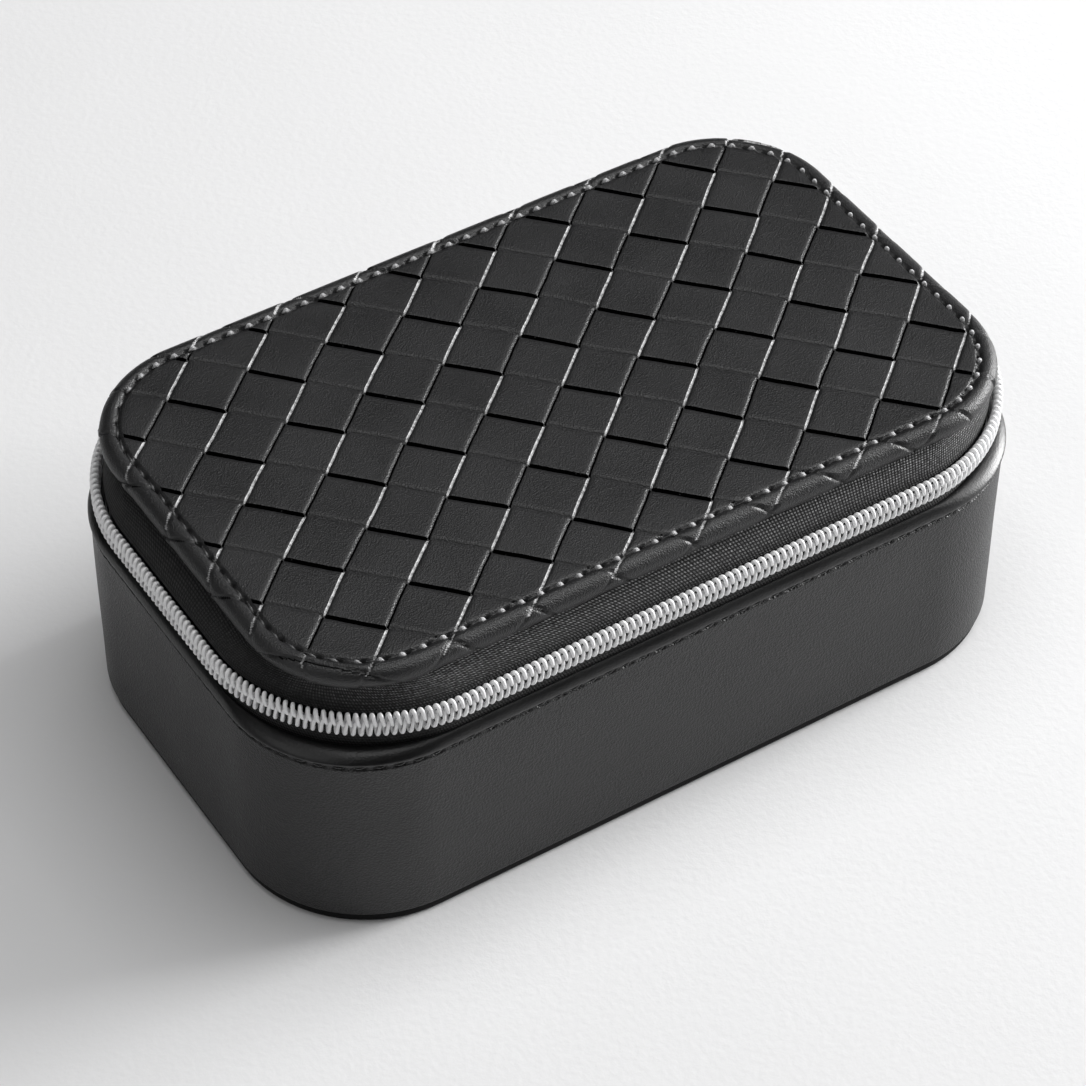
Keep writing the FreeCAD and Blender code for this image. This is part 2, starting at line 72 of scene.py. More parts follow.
# ---------------------------------------------------------------- driving dimensions
# An outline is a rounded rectangle: (half length along X, half depth along Y, corner radius).
COIL_OUT = 1.1
COIL_IN = 1.5
LOOP_IN = 1.0
EDGE_OFFSET = 1.1
EDGE_RADIUS = 2.4
WALL = (reach("base_wall_leather").x, reach("base_wall_leather").y, 27.0)
CHAIN = (reach("zip_coil_lower").x - COIL_OUT, -foot("zip_coil_lower").y - COIL_OUT, 33.0)
LID_REACH = EDGE_OFFSET + EDGE_RADIUS
LID_SEAM = (reach("lid_woven_leather").x - LID_REACH, reach("lid_woven_leather").y - LID_REACH, 19.7)
LINING = (reach("base_lining_floor").x, reach("base_lining_floor").y, 28.2)

BOTTOM_TOP = reach("base_bottom_panel").z
WALL_FOOT = 2.2
FLOOR_TOP = reach("base_lining_floor").z
WALL_TOP = reach("base_wall_leather").z
BASE_TOP = reach("base_top_roll").z
CHAIN_Z = (reach("zip_coil_upper").z + foot("zip_coil_lower").z) / 2
CHAIN_HALF = (reach("zip_coil_upper").z - foot("zip_coil_lower").z) / 2
LID_TOP = foot("lid_stitching").z - 0.04
EDGE_Z = reach("lid_edge_cord").z - 1.45

BASE_STITCH_Z = (foot("base_wall_stitching").z + reach("base_wall_stitching").z) / 2
BASE_STITCH_PITCH = 3.6
LID_STITCH_PITCH = 4.0

# Ends along the rear corners of the zip's parts, in degrees from the corner's side
UPPER_COIL_END = 46.0
LOWER_COIL_END = 72.0
TAPE_END = 96.0

# Weave of the lid: two strip directions, and a corner of one cell
WEAVE_ORIGIN = np.array((1.66, -0.88))
STRIP_H = np.array((7.76, -8.32))
STRIP_V = np.array((8.51, 7.36))
STRIP_CROWN = 0.11
# Strips along H lie higher, and the ends of the strips along V are pressed down further
STRIP_SEAT = 0.16
END_DROP_H = 0.24
END_DROP_V = 0.60
CREVICE = 0.24


# ---------------------------------------------------------------- outlines
def grow(outline, distance):
    """The same outline, moved outward by a distance."""
    return tuple(size + distance for size in outline)


def shrink(outline, share):
    """The same outline, scaled about the centre."""
    return tuple(size * share for size in outline)


def place(outline, track):
    """Points on an outline and their outward normals.

    track runs from 0 to 8 round the outline: 0 to 1 is the right side, 1 to 2 the rear right
    corner, 2 to 3 the back, and so on anticlockwise.
    """
    half_x, half_y, radius = outline
    centre_x, centre_y = half_x - radius, half_y - radius
    track = np.mod(np.asarray(track, float), 8)
    side = np.minimum(track // 2, 3).astype(int)
    part = track - 2 * side
    corner_x = np.array((1, -1, -1, 1)) * centre_x
    corner_y = np.array((1, 1, -1, -1)) * centre_y
    before = side - 1
    run = np.minimum(part, 1)
    x = corner_x[before] + (corner_x[side] - corner_x[before]) * run
    y = corner_y[before] + (corner_y[side] - corner_y[before]) * run
    angle = (side + np.maximum(part - 1, 0)) * np.pi / 2
    normal = np.stack((np.cos(angle), np.sin(angle)), -1)
    return np.stack((x, y), -1) + radius * normal, normal


def marks(outline):
    """Track values over three turns and the distance at each of them."""
    half_x, half_y, radius = outline
    sides = [2 * (half_y - radius), radius * math.pi / 2, 2 * (half_x - radius), radius * math.pi / 2]
    steps = np.array(sides * 6)
    turn = sum(sides) * 2
    return np.arange(-8, 17), np.concatenate(([0], np.cumsum(steps))) - turn


def distance_at(outline, track):
    """Distance along the outline at a track value."""
    tracks, distances = marks(outline)
    return np.interp(track, tracks, distances)


def track_at(outline, distance):
    """Track value at a distance along the outline."""
    tracks, distances = marks(outline)
    return np.interp(distance, distances, tracks)


def stations(outline, spacing, start=2.5, end=10.5):
    """Track values evenly spaced along an outline; a full turn starts behind the hinge."""
    first, last = distance_at(outline, start), distance_at(outline, end)
    count = math.ceil((last - first) / spacing)
    return track_at(outline, np.linspace(first, last, count + 1))


def locate(outline, x, y):
    """Signed distance outward from an outline, track value and outward normal of plan points."""
    half_x, half_y, radius = outline
    centre_x, centre_y = half_x - radius, half_y - radius
    out_x, out_y = np.abs(x) - centre_x, np.abs(y) - centre_y
    sign_x, sign_y = np.where(x < 0, -1.0, 1.0), np.where(y < 0, -1.0, 1.0)
    corner = (out_x > 0) & (out_y > 0)
    radial = np.hypot(out_x, out_y)
    safe = np.maximum(radial, 1e-9)
    on_x = out_x > out_y
    away = np.where(corner, radial, np.maximum(out_x, out_y)) - radius
    normal_x = np.where(corner, sign_x * out_x / safe, np.where(on_x, sign_x, 0))
    normal_y = np.where(corner, sign_y * out_y / safe, np.where(on_x, 0, sign_y))
    along_y = (y + centre_y) / (2 * centre_y)
    along_x = (centre_x - x) / (2 * centre_x)
    straight = np.where(
        on_x,
        np.where(sign_x > 0, along_y, 5 - along_y),
        np.where(sign_y > 0, 2 + along_x, 7 - along_x),
    )
    turned = np.mod(np.arctan2(normal_y, normal_x), 2 * np.pi) / (np.pi / 2)
    quarter = np.minimum(np.floor(turned), 3)
    track = np.where(corner, 2 * quarter + 1 + (turned - quarter), straight)
    return away, track, normal_x, normal_y


def smooth(value, low, high):
    """0 below low, 1 above high, with a soft step between."""
    share = np.clip((value - low) / (high - low), 0, 1)
    return share * share * (3 - 2 * share)


def wobble(points, size, amount):
    """Three smooth random offsets for each point; size is the length of one wave."""
    flat = np.asarray(points, float).reshape(-1, 3) / size
    found = np.array([noise.noise_vector(point) for point in flat])
    return found.reshape(np.shape(points)) * amount


# ---------------------------------------------------------------- meshes
def build_mesh(name, points, faces, attributes=None, face_values=None):
    """A smooth-shaded object from points in millimetres.

    attributes are vectors at the points, and face_values are numbers on the faces, by name.
    """
    mesh = bpy.data.meshes.new(name)
    points = np.asarray(points, float).reshape(-1, 3)
    faces = np.asarray(faces, np.int32)
    corners = faces.shape[1]
    mesh.vertices.add(len(points))
    mesh.vertices.foreach_set("co", (points * MM).astype(np.float32).ravel())
    mesh.loops.add(faces.size)
    mesh.loops.foreach_set("vertex_index", faces.ravel())
    mesh.polygons.add(len(faces))
    mesh.polygons.foreach_set("loop_start", np.arange(0, faces.size, corners, dtype=np.int32))
    mesh.update(calc_edges=True)
    mesh.polygons.foreach_set("use_smooth", np.ones(len(faces), bool))
    for label, values in (attributes or {}).items():
        attribute = mesh.attributes.new(label, "FLOAT_VECTOR", "POINT")
        attribute.data.foreach_set("vector", np.asarray(values, np.float32).ravel())
    for label, values in (face_values or {}).items():
        attribute = mesh.attributes.new(label, "FLOAT", "FACE")
        attribute.data.foreach_set("value", np.asarray(values, np.float32).ravel())
    mesh.validate()
    piece = bpy.data.objects.new(name, mesh)
    bpy.context.collection.objects.link(piece)
    return piece


def grid_faces(rows, columns, start=0):
    """Four-sided faces of a grid of points."""
    index = np.arange(rows * columns).reshape(rows, columns) + start
    quads = (index[:-1, :-1], index[:-1, 1:], index[1:, 1:], index[1:, :-1])
    return np.stack([quad.ravel() for quad in quads], 1)


def path_lengths(points, axis):
    """Distance travelled along one axis of a grid of points."""
    steps = np.linalg.norm(np.diff(points, axis=axis), axis=-1)
    pad = [(0, 0), (0, 0)]
    pad[axis] = (1, 0)
    return np.pad(np.cumsum(steps, axis=axis), pad)


def grid_normals(points):
    """Unit normals of a grid of points."""
    cross = np.cross(np.gradient(points, axis=1), np.gradient(points, axis=0))
    return cross / np.maximum(np.linalg.norm(cross, axis=-1, keepdims=True), 1e-12)


def cloth_attributes(points, tracks=None, outline=None):
    """Position in the cloth in millimetres: along the columns, and up the rows."""
    if outline is None:
        along = path_lengths(points, 1)
    else:
        along = np.broadcast_to(distance_at(outline, tracks), points.shape[:2])
    up = path_lengths(points, 0)
    return {"cloth": np.stack((along, up, np.zeros_like(up)), -1)}


def levels_grid(levels, tracks):
    """Points through levels, each an outline and a height, at the tracks given."""
    rows = []
    for outline, height in levels:
        plan, _ = place(outline, tracks)
        rows.append(np.column_stack((plan, np.full(len(plan), float(height)))))
    return np.array(rows)


def grid_piece(name, points, attributes=None):
    """One object from a grid of points."""
    rows, columns = points.shape[:2]
    found = {"cloth": cloth_attributes(points)["cloth"]} if attributes is None else attributes
    return build_mesh(name, points, grid_faces(rows, columns), found)


def rounded(profile, rounds=2):
    """A profile with its corners cut smooth; the ends stay."""
    points = np.asarray(profile, float)
    for _ in range(rounds):
        near = points[:-1] * 0.75 + points[1:] * 0.25
        far = points[:-1] * 0.25 + points[1:] * 0.75
        middle = np.stack((near, far), 1).reshape(-1, points.shape[1])
        points = np.concatenate((points[:1], middle, points[-1:]))
    return points


def tube(centres, radius, sides):
    """Points and faces of a tube along a line of centres; radius is one value or one per centre."""
    centres = np.asarray(centres, float)
    heading = np.gradient(centres, axis=0)
    heading /= np.linalg.norm(heading, axis=1, keepdims=True)
    first = np.cross(heading, (0.013, 0.021, 1.0))
    first /= np.linalg.norm(first, axis=1, keepdims=True)
    second = np.cross(heading, first)
    turn = np.arange(sides) * 2 * np.pi / sides
    radius = np.broadcast_to(radius, len(centres))[:, None, None]
    ring = first[:, None] * np.cos(turn)[None, :, None] + second[:, None] * np.sin(turn)[None, :, None]
    points = centres[:, None] + radius * ring
    index = np.arange(len(centres) * sides).reshape(len(centres), sides)
    after = np.roll(index, -1, axis=1)
    quads = (index[:-1], after[:-1], after[1:], index[1:])
    return points.reshape(-1, 3), np.stack([quad.ravel() for quad in quads], 1)


def merged(name, parts, attributes=None, face_values=None):
    """One object from several (points, faces) pairs."""
    points, faces, start = [], [], 0
    for part_points, part_faces in parts:
        points.append(part_points)
        faces.append(part_faces + start)
        start += len(part_points)
    return build_mesh(name, np.concatenate(points), np.concatenate(faces), attributes, face_values)


def finish_piece(piece, body, slot, material, *nodes):
    """Material, body and the CAD nodes that the piece stands for; slot is not used."""
    piece.data.materials.append(material)
    if body:
        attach(piece, body)
    if nodes:
        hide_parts(*nodes)
    return piece


# ---------------------------------------------------------------- materials
class Shader:
    """A node material with one Principled shader."""

    def __init__(self, name, **values):
        self.material = bpy.data.materials.new(name)
        self.material.use_nodes = True
        self.nodes = self.material.node_tree.nodes
        self.links = self.material.node_tree.links
        self.shader = self.nodes["Principled BSDF"]
        for label, value in values.items():
            self.shader.inputs[label.replace("_", " ")].default_value = value
        self.height = None

    def add(self, kind, **values):
        node = self.nodes.new(kind)
        for label, value in values.items():
            if hasattr(node, label):
                setattr(node, label, value)
            else:
                node.inputs[label.replace("_", " ")].default_value = value
        return node

    def link(self, output, target):
        self.links.new(output, target)
        return output

    def place(self, scale=(1000, 1000, 1000), attribute=None):
        """Coordinates in millimetres (or in a named attribute), scaled."""
        if attribute:
            source = self.add("ShaderNodeAttribute", attribute_name=attribute).outputs["Vector"]
        else:
            source = self.add("ShaderNodeTexCoord").outputs["Object"]
        mapping = self.add("ShaderNodeMapping")
        mapping.inputs["Scale"].default_value = scale
        self.link(source, mapping.inputs["Vector"])
        return mapping.outputs["Vector"]

    def noise(self, vector, scale, detail=3.0, rough=0.55):
        node = self.add("ShaderNodeTexNoise", Scale=scale, Detail=detail, Roughness=rough)
        self.link(vector, node.inputs["Vector"])
        return node.outputs["Fac"]

    def cells(self, vector, scale, feature="F1"):
        node = self.add("ShaderNodeTexVoronoi", feature=feature, Scale=scale)
        self.link(vector, node.inputs["Vector"])
        return node.outputs["Distance"]

    def math(self, operation, first, second=0.0):
        node = self.add("ShaderNodeMath", operation=operation)
        for socket, value in zip(node.inputs, (first, second)):
            if isinstance(value, (int, float)):
                socket.default_value = value
            else:
                self.link(value, socket)
        return node.outputs[0]

    def span(self, value, low, high, to_low, to_high):
        node = self.add("ShaderNodeMapRange")
        for label, number in zip(("From Min", "From Max", "To Min", "To Max"), (low, high, to_low, to_high)):
            node.inputs[label].default_value = number
        self.link(value, node.inputs["Value"])
        return node.outputs["Result"]

    def mix(self, share, dark, light):
        node = self.add("ShaderNodeMix", data_type="RGBA")
        self.link(share, node.inputs["Factor"])
        for socket, colour in ((node.inputs["A"], dark), (node.inputs["B"], light)):
            if isinstance(colour, tuple):
                socket.default_value = (*colour, 1.0)
            else:
                self.link(colour, socket)
        return node.outputs["Result"]

    def colour(self, output):
        self.link(output, self.shader.inputs["Base Color"])

    def roughness(self, output):
        self.link(output, self.shader.inputs["Roughness"])

    def bump(self, height, distance, strength=1.0):
        """Adds one layer of bump; distance is in millimetres."""
        node = self.add("ShaderNodeBump", Strength=strength, Distance=distance * MM)
        self.link(height, node.inputs["Height"])
        if self.height is not None:
            self.link(self.height, node.inputs["Normal"])
        self.height = node.outputs["Normal"]
        self.link(self.height, self.shader.inputs["Normal"])


def leather(name, dark, light, rough, grain, grain_depth, fine_depth, woven=False, shine=0.5):
    """Fine-grained black leather with an uneven finish."""
    mat = Shader(name, IOR=1.5, Specular_IOR_Level=shine)
    where = mat.place()
    cloud = mat.noise(where, 0.06, 3.0)
    fine = mat.noise(where, 1.3, 4.0, 0.6)
    pores = mat.cells(where, 1 / grain)
    tone = mat.math("ADD", mat.math("MULTIPLY", cloud, 0.6), mat.math("MULTIPLY", fine, 0.4))
    colour = mat.mix(mat.span(tone, 0.35, 0.65, 0, 1), dark, light)
    roughness = mat.span(tone, 0.3, 0.7, rough - 0.05, rough + 0.07)
    if woven:
        # The strip-step attribute paints light: above 0 it mixes in a pale painted highlight, below 0 a near-black
        # painted shade with less shine.
        edge = mat.add("ShaderNodeAttribute", attribute_name="painted_edge_light").outputs["Fac"]
        pale = mat.math("MULTIPLY", mat.math("MAXIMUM", edge), mat.span(fine, 0.38, 0.6, 0.3, 1.0))
        colour = mat.mix(pale, colour, (0.75, 0.75, 0.755))
        shade = mat.math("MAXIMUM", mat.math("MULTIPLY", edge, -1.0))
        colour = mat.mix(shade, colour, (0.0008, 0.0008, 0.0008))
        mat.link(mat.span(shade, 0, 1, 0.5, 0.0), mat.shader.inputs["Specular IOR Level"])
        # Pale specks: painted glints that stand in for grain pores catching the light.
        pore_glint = mat.math("LESS_THAN", mat.cells(where, 0.8), 0.10)
        few = mat.math("GREATER_THAN", mat.noise(where, 0.9, 1.0), 0.55)
        colour = mat.mix(mat.math("MULTIPLY", pore_glint, few), colour, (0.06, 0.06, 0.06))
        strands = mat.place((0.35, 2.6, 1.0), "strip")
        streak = mat.noise(strands, 1.0, 3.0)
        mat.bump(streak, 0.012)
    mat.colour(colour)
    mat.roughness(roughness)
    mat.bump(fine, fine_depth)
    mat.bump(pores, grain_depth)
    return mat.material


def tape_cloth(name, light):
    """Black zip tape: rows of small raised threads, staggered from row to row."""
    mat = Shader(name, Roughness=0.75, Specular_IOR_Level=0.3, Sheen_Weight=0.1)
    split = mat.add("ShaderNodeSeparateXYZ")
    mat.link(mat.place((1, 1, 1), "cloth"), split.inputs["Vector"])
    rows = mat.math("MULTIPLY", split.outputs["Y"], math.pi / 0.66)
    lean = mat.math("ADD", split.outputs["X"], mat.math("MULTIPLY", split.outputs["Y"], 0.5))
    columns = mat.math("MULTIPLY", lean, math.pi / 0.64)
    bump_x = mat.math("ABSOLUTE", mat.math("SINE", columns))
    bump_y = mat.math("ABSOLUTE", mat.math("SINE", rows))
    dots = mat.math("MULTIPLY", bump_x, bump_y)
    fuzz = mat.noise(mat.place(), 1.6, 2.0)
    # Dot strength: random tone of the threads, times a painted fade towards the coil, where the tape turns away from
    # the light.
    dot_tone_and_shade = mat.math("MULTIPLY", mat.span(fuzz, 0.35, 0.65, 0.15, 1.0), mat.span(split.outputs["Y"], 2, 7, 0.3, 1.0))
    across = mat.add("ShaderNodeSeparateXYZ")
    mat.link(mat.place(), across.inputs["Vector"])
    # Painted shade: the dots fade out on the -X side, away from the lamps.
    dot_tone_and_shade = mat.math("MULTIPLY", dot_tone_and_shade, mat.span(across.outputs["X"], -77, -62, 0.12, 1.0))
    peak = mat.math("MULTIPLY", mat.math("POWER", dots, 2.2), dot_tone_and_shade)
    # The pale dot colour is a painted sheen on the raised threads of the black tape.
    mat.colour(mat.mix(peak, (0.006, 0.006, 0.0063), light))
    mat.bump(dots, 0.12)
    return mat.material


def coil_plastic():
    """Bright silver coil wire."""
    mat = Shader("zip_coil_wire", Metallic=0.05, IOR=1.5)
    where = mat.place()
    cloud = mat.noise(where, 0.8, 3.0)
    mat.colour(mat.mix(cloud, (0.86, 0.86, 0.865), (0.95, 0.95, 0.955)))
    mat.roughness(mat.span(cloud, 0.3, 0.7, 0.26, 0.36))
    mat.bump(mat.noise(where, 3.0, 2.0), 0.02)
    return mat.material


def metal(name, dark, light, rough):
    """Polished cast metal with faint wear."""
    mat = Shader(name, Metallic=1.0)
    where = mat.place()
    cloud = mat.noise(where, 0.7, 4.0)
    mat.colour(mat.mix(cloud, dark, light))
    mat.roughness(mat.span(cloud, 0.3, 0.7, rough - 0.06, rough + 0.1))
    mat.bump(mat.noise(where, 1.2, 3.0), 0.01)
    return mat.material


def thread_fibre(name, dark, light):
    """Twisted, slightly fuzzy thread."""
    mat = Shader(name, Roughness=0.6, Sheen_Weight=0.4, Sheen_Roughness=0.4)
    where = mat.place((1000, 1000, 1000))
    fuzz = mat.noise(where, 5.0, 3.0, 0.7)
    twist = mat.add("ShaderNodeTexWave", wave_type="BANDS", bands_direction="DIAGONAL", Scale=1.6, Distortion=1.5)
    mat.link(where, twist.inputs["Vector"])
    # Knots get a painted highlight: the light colour stands in for light caught where the thread rises.
    knot = mat.add("ShaderNodeAttribute", attribute_name="knot_glint").outputs["Fac"]
    lit = mat.math("ADD", mat.math("MULTIPLY", knot, mat.span(fuzz, 0.35, 0.6, 0.4, 1.0)),
                   mat.math("MULTIPLY", twist.outputs["Fac"], 0.06))
    mat.colour(mat.mix(lit, dark, light))
    mat.bump(twist.outputs["Fac"], 0.06)
    mat.bump(fuzz, 0.05)
    return mat.material


def suede(name, dark, light):
    """Short-pile lining cloth."""
    mat = Shader(name, Roughness=0.92, Specular_IOR_Level=0.15, Sheen_Weight=0.35, Sheen_Roughness=0.45)
    where = mat.place()
    cloud = mat.noise(where, 0.05, 3.0)
    pile = mat.noise(where, 3.2, 4.0, 0.7)
    tone = mat.math("ADD", mat.math("MULTIPLY", cloud, 0.5), mat.math("MULTIPLY", pile, 0.5))
    mat.colour(mat.mix(mat.span(tone, 0.36, 0.64, 0, 1), dark, light))
    mat.bump(pile, 0.08)
    return mat.material


SMOOTH_LEATHER = leather("smooth_black_leather", (0.007, 0.007, 0.0074), (0.012, 0.012, 0.0125), 0.43, 0.42, 0.16, 0.07)
ROLLED_LEATHER = leather("rolled_black_leather", (0.006, 0.006, 0.0063), (0.010, 0.010, 0.0105), 0.36, 0.42, 0.03, 0.02)
WOVEN_LEATHER = leather(
    "woven_black_leather", (0.011, 0.011, 0.0115), (0.018, 0.018, 0.0188), 0.42, 0.3, 0.08, 0.035, woven=True
)
# Bottom panel leather: darker than the wall's as painted shade under the case, and also rougher with less shine.
MATT_SHADED_LEATHER = leather(
    "matt_black_leather_painted_shade", (0.002, 0.002, 0.0021), (0.004, 0.004, 0.0042), 0.6, 0.42, 0.05, 0.03, shine=0.12
)
# Two copies of one tape: the lid side with bright painted sheen on its dots, the base side with dim dots as painted
# shade below the coil.
TAPE_CLOTH = tape_cloth("zip_tape_cloth", (0.62, 0.62, 0.625))
TAPE_PAINTED_SHADE = tape_cloth("zip_tape_cloth_painted_shade", (0.05, 0.05, 0.0505))
COIL_WIRE = coil_plastic()
ZIP_METAL = metal("polished_zip_metal", (0.58, 0.58, 0.59), (0.74, 0.74, 0.75), 0.22)
# The lid thread's pale colour is a painted highlight on the knots; the thread itself is near black.
LID_THREAD = thread_fibre("lid_thread", (0.012, 0.012, 0.0125), (0.72, 0.72, 0.73))
BASE_THREAD = thread_fibre("base_thread", (0.004, 0.004, 0.0045), (0.03, 0.03, 0.032))
LINING_SUEDE = suede("lining_suede", (0.05, 0.05, 0.053), (0.085, 0.085, 0.09))
POCKET_CLOTH = suede("pocket_cloth", (0.04, 0.04, 0.043), (0.07, 0.07, 0.075))
FOAM = suede("grey_foam", (0.22, 0.22, 0.22), (0.34, 0.34, 0.34))
BOARD = suede("fibre_board", (0.28, 0.26, 0.23), (0.38, 0.36, 0.32))


# ---------------------------------------------------------------- woven lid
def strip_wander(x, y):
    """How far the strips stray in plan from their even lattice."""
    points = np.stack((x, y, np.zeros_like(x)), -1)
    slow = wobble(points + 31.0, 24.0, 0.5)
    quick = wobble(points, 2.6, 0.09)
    return slow[..., 0] + quick[..., 0], slow[..., 1] + quick[..., 1]


def weave_height(cell_i, cell_j, part_u, part_v):
    """Height below the crowns, and the place along and across the strips, inside lattice cells."""
    over_h = np.mod(cell_i + cell_j, 2) == 0
    along = np.where(over_h, part_u, part_v)
    across = np.where(over_h, part_v, part_u)
    end = np.abs(2 * along - 1)
    side = np.abs(2 * across - 1)
    dive = np.clip((end - 0.83) / 0.17, 0, 1) ** 1.3 * np.where(over_h, END_DROP_H, END_DROP_V)
    crevice = CREVICE * smooth(end, 0.92, 0.964)
    crown = STRIP_CROWN * (0.3 * side ** 2 + 0.7 * side ** 24)
    height = -dive - crevice - crown - np.where(over_h, 0.0, STRIP_SEAT)
    lane = np.where(over_h, cell_j, cell_i + 40)
    length = np.where(over_h, cell_i + part_u, cell_j + part_v)
    strip = np.stack((length * 11.3, (lane + across) * 11.3, np.zeros_like(length)), -1)
    return height, strip


def lattice_place(x, y):
    """Lattice cell and place in it of plan points."""
    wander_x, wander_y = strip_wander(x, y)
    step_x = x - wander_x - WEAVE_ORIGIN[0]
    step_y = y - wander_y - WEAVE_ORIGIN[1]
    area = STRIP_H[0] * STRIP_V[1] - STRIP_H[1] * STRIP_V[0]
    u = (STRIP_V[1] * step_x - STRIP_V[0] * step_y) / area
    v = (STRIP_H[0] * step_y - STRIP_H[1] * step_x) / area
    return np.floor(u), np.floor(v), u - np.floor(u), v - np.floor(v)


def seam_groove(away, track):
    """Depth of the stitched groove at the foot of the rolled edge, deeper at the needle holes."""
    count = round(float(distance_at(LID_SEAM, 8)) / LID_STITCH_PITCH)
    phase = distance_at(LID_SEAM, track) / distance_at(LID_SEAM, 8) * count
    hole = 0.5 + 0.5 * np.cos(2 * np.pi * phase)
    valley = 0.36 * np.exp(-((away + 0.15) / 0.55) ** 2)
    pit = 1.1 * hole ** 6 * np.exp(-((away + 0.15) / 0.3) ** 2)
    return valley + pit


def lid_panel_part():
    """The flat of the woven lid on a grid that follows the strips, up to the seam."""
    inner = (0.018, 0.04, 0.068, 0.105, 0.15, 0.2, 0.26, 0.33, 0.41, 0.5)
    inner = np.array(inner + tuple(1 - value for value in inner[-2::-1]))
    reach_cells = 9
    cells = np.repeat(np.arange(-reach_cells, reach_cells), len(inner))
    parts = np.tile(inner, 2 * reach_cells)
    cell_i, cell_j = np.meshgrid(cells, cells, indexing="ij")
    part_u, part_v = np.meshgrid(parts, parts, indexing="ij")
    height, strip = weave_height(cell_i, cell_j, part_u, part_v)
    u, v = (cell_i + part_u)[..., None], (cell_j + part_v)[..., None]
    plan = WEAVE_ORIGIN + u * STRIP_H + v * STRIP_V
    x, y = plan[..., 0], plan[..., 1]
    wander_x, wander_y = strip_wander(x, y)
    x, y = x + wander_x, y + wander_y
    away, _, normal_x, normal_y = locate(LID_SEAM, x, y)
    rim = -0.9
    beyond = np.maximum(away - rim, 0)
    outside = away > rim
    x, y = x - beyond * normal_x, y - beyond * normal_y
    away, track, _, _ = locate(LID_SEAM, x, y)
    near = smooth(away, -3.0, -0.5)
    z = LID_TOP + height * (1 - 0.3 * near) + STRIP_CROWN * 0.3 - seam_groove(away, track)
    points = np.stack((x, y, z), -1)
    faces = grid_faces(*points.shape[:2])
    # The step from one strip down to the next gets a painted highlight where a V strip ends towards
    # +H, and painted shade on the other visible sides.
    step = len(inner)
    row, column = np.divmod(faces[:, 0], points.shape[1])
    crosses_u = (row % step == step - 1) & (column % step != step - 1)
    crosses_v = (column % step == step - 1) & (row % step != step - 1)
    on_v = np.mod(cell_i + cell_j, 2).ravel()[faces[:, 0]] == 1
    edge = np.where(crosses_u & on_v, 1.0, 0.0)
    edge = np.where((crosses_u & ~on_v) | (crosses_v & on_v), -1.0, edge)
    inside = ~np.all(outside.ravel()[faces], axis=1)
    kept = faces[inside]
    used = np.unique(kept)
    renumber = np.zeros(points.shape[0] * points.shape[1], int)
    renumber[used] = np.arange(len(used))
    values = [array.reshape(-1, 3)[used] for array in (points, strip)]
    return values[0], renumber[kept][:, ::-1], values[1], edge[inside]


def lid_roll_part():
    """The leather wrapped round the edge cord, on a grid that follows the edge."""
    start_angle = math.radians(117)
    arc = EDGE_RADIUS * math.radians(217)
    away = np.concatenate((np.linspace(-1.0, 0.0, 6)[:-1], np.linspace(0, arc, 30)))
    tracks = stations(LID_SEAM, 0.32)
    plan, normal = place(LID_SEAM, tracks)
    flat = plan[None] + away[:, None, None] * normal[None]
    x, y = flat[..., 0], flat[..., 1]
    height, strip = 0.0, 0.0
    for step_x, step_y in ((0.1, 0.0), (-0.1, 0.0), (0.0, 0.1), (0.0, -0.1)):
        found = weave_height(*lattice_place(x + step_x, y + step_y))
        height, strip = height + found[0] / 4, found[1]
    distance = away[:, None] * np.ones_like(x)
    track = np.broadcast_to(tracks, x.shape)
    angle = start_angle - np.maximum(distance, 0) / EDGE_RADIUS
    calm = 1 - 0.3 * smooth(distance, -3.0, -0.5) + 0.1 * smooth(distance, -0.5, 1.0)
    radius = EDGE_RADIUS + height * calm
    out = np.where(distance > 0, EDGE_OFFSET + radius * np.cos(angle), distance)
    foot_z = EDGE_Z + EDGE_RADIUS * math.sin(start_angle)
    flat_z = LID_TOP + (foot_z - LID_TOP) * smooth(distance, -0.8, 0.0) + height * calm + STRIP_CROWN * 0.3
    rolled_z = EDGE_Z + radius * np.sin(angle)
    blend = smooth(distance, -0.05, 0.4)
    z = flat_z * (1 - blend) + rolled_z * blend - seam_groove(distance, track)
    out = np.minimum(distance, 0) * (1 - blend) + out * blend
    points = np.concatenate((plan[None] + out[..., None] * normal[None], z[..., None]), -1)
    faces = grid_faces(*points.shape[:2])
    edge = roll_edges(x, y, distance, np.broadcast_to(normal[:, 0], x.shape))
    return points.reshape(-1, 3), faces[:, ::-1], strip.reshape(-1, 3), edge.ravel()[faces[:, 0]]


def roll_edges(x, y, distance, normal_x):
    """Painted highlight (above 0) and painted shade (below 0) on the strip edges where they run over the rolled edge.
    """
    cell_i, cell_j, _, _ = lattice_place(x, y)
    next_i, _, _, _ = lattice_place(x + 0.03 * STRIP_H[0], y + 0.03 * STRIP_H[1])
    _, next_j, _, _ = lattice_place(x + 0.03 * STRIP_V[0], y + 0.03 * STRIP_V[1])
    on_v = (np.mod(cell_i + cell_j, 2) == 1) | (distance > 0.3)
    steep = (next_i > cell_i) & on_v & (distance < 3.4)
    slanted = (next_j > cell_j) & (distance > 1.6) & (distance < 3.2)
    # The painted highlight grows, and the painted shade gives way to it, on faces turned towards +X, where the lamps
    # are.
    lit = smooth(normal_x, -0.6, 0.1)
    return np.where(steep, 0.35 + 0.55 * lit, np.where(slanted, -0.9 + 1.45 * lit, 0.0))


def lid_woven_top():
    panel, roll = lid_panel_part(), lid_roll_part()
    strips = {"strip": np.concatenate((panel[2], roll[2]))}
    # The strip edges carry painted highlight and painted shade from the panel and the roll.
    edges = {"painted_edge_light": np.concatenate((panel[3], roll[3]))}
    piece = merged("lid_woven_top", [panel[:2], roll[:2]], strips, edges)
    creased = np.concatenate((np.abs(panel[3]) > 0.5, np.zeros(len(roll[3]), bool)))
    piece.data.polygons.foreach_set("use_smooth", ~creased)
    finish_piece(piece, "lid", "woven_leather", WOVEN_LEATHER, "lid_woven_leather")


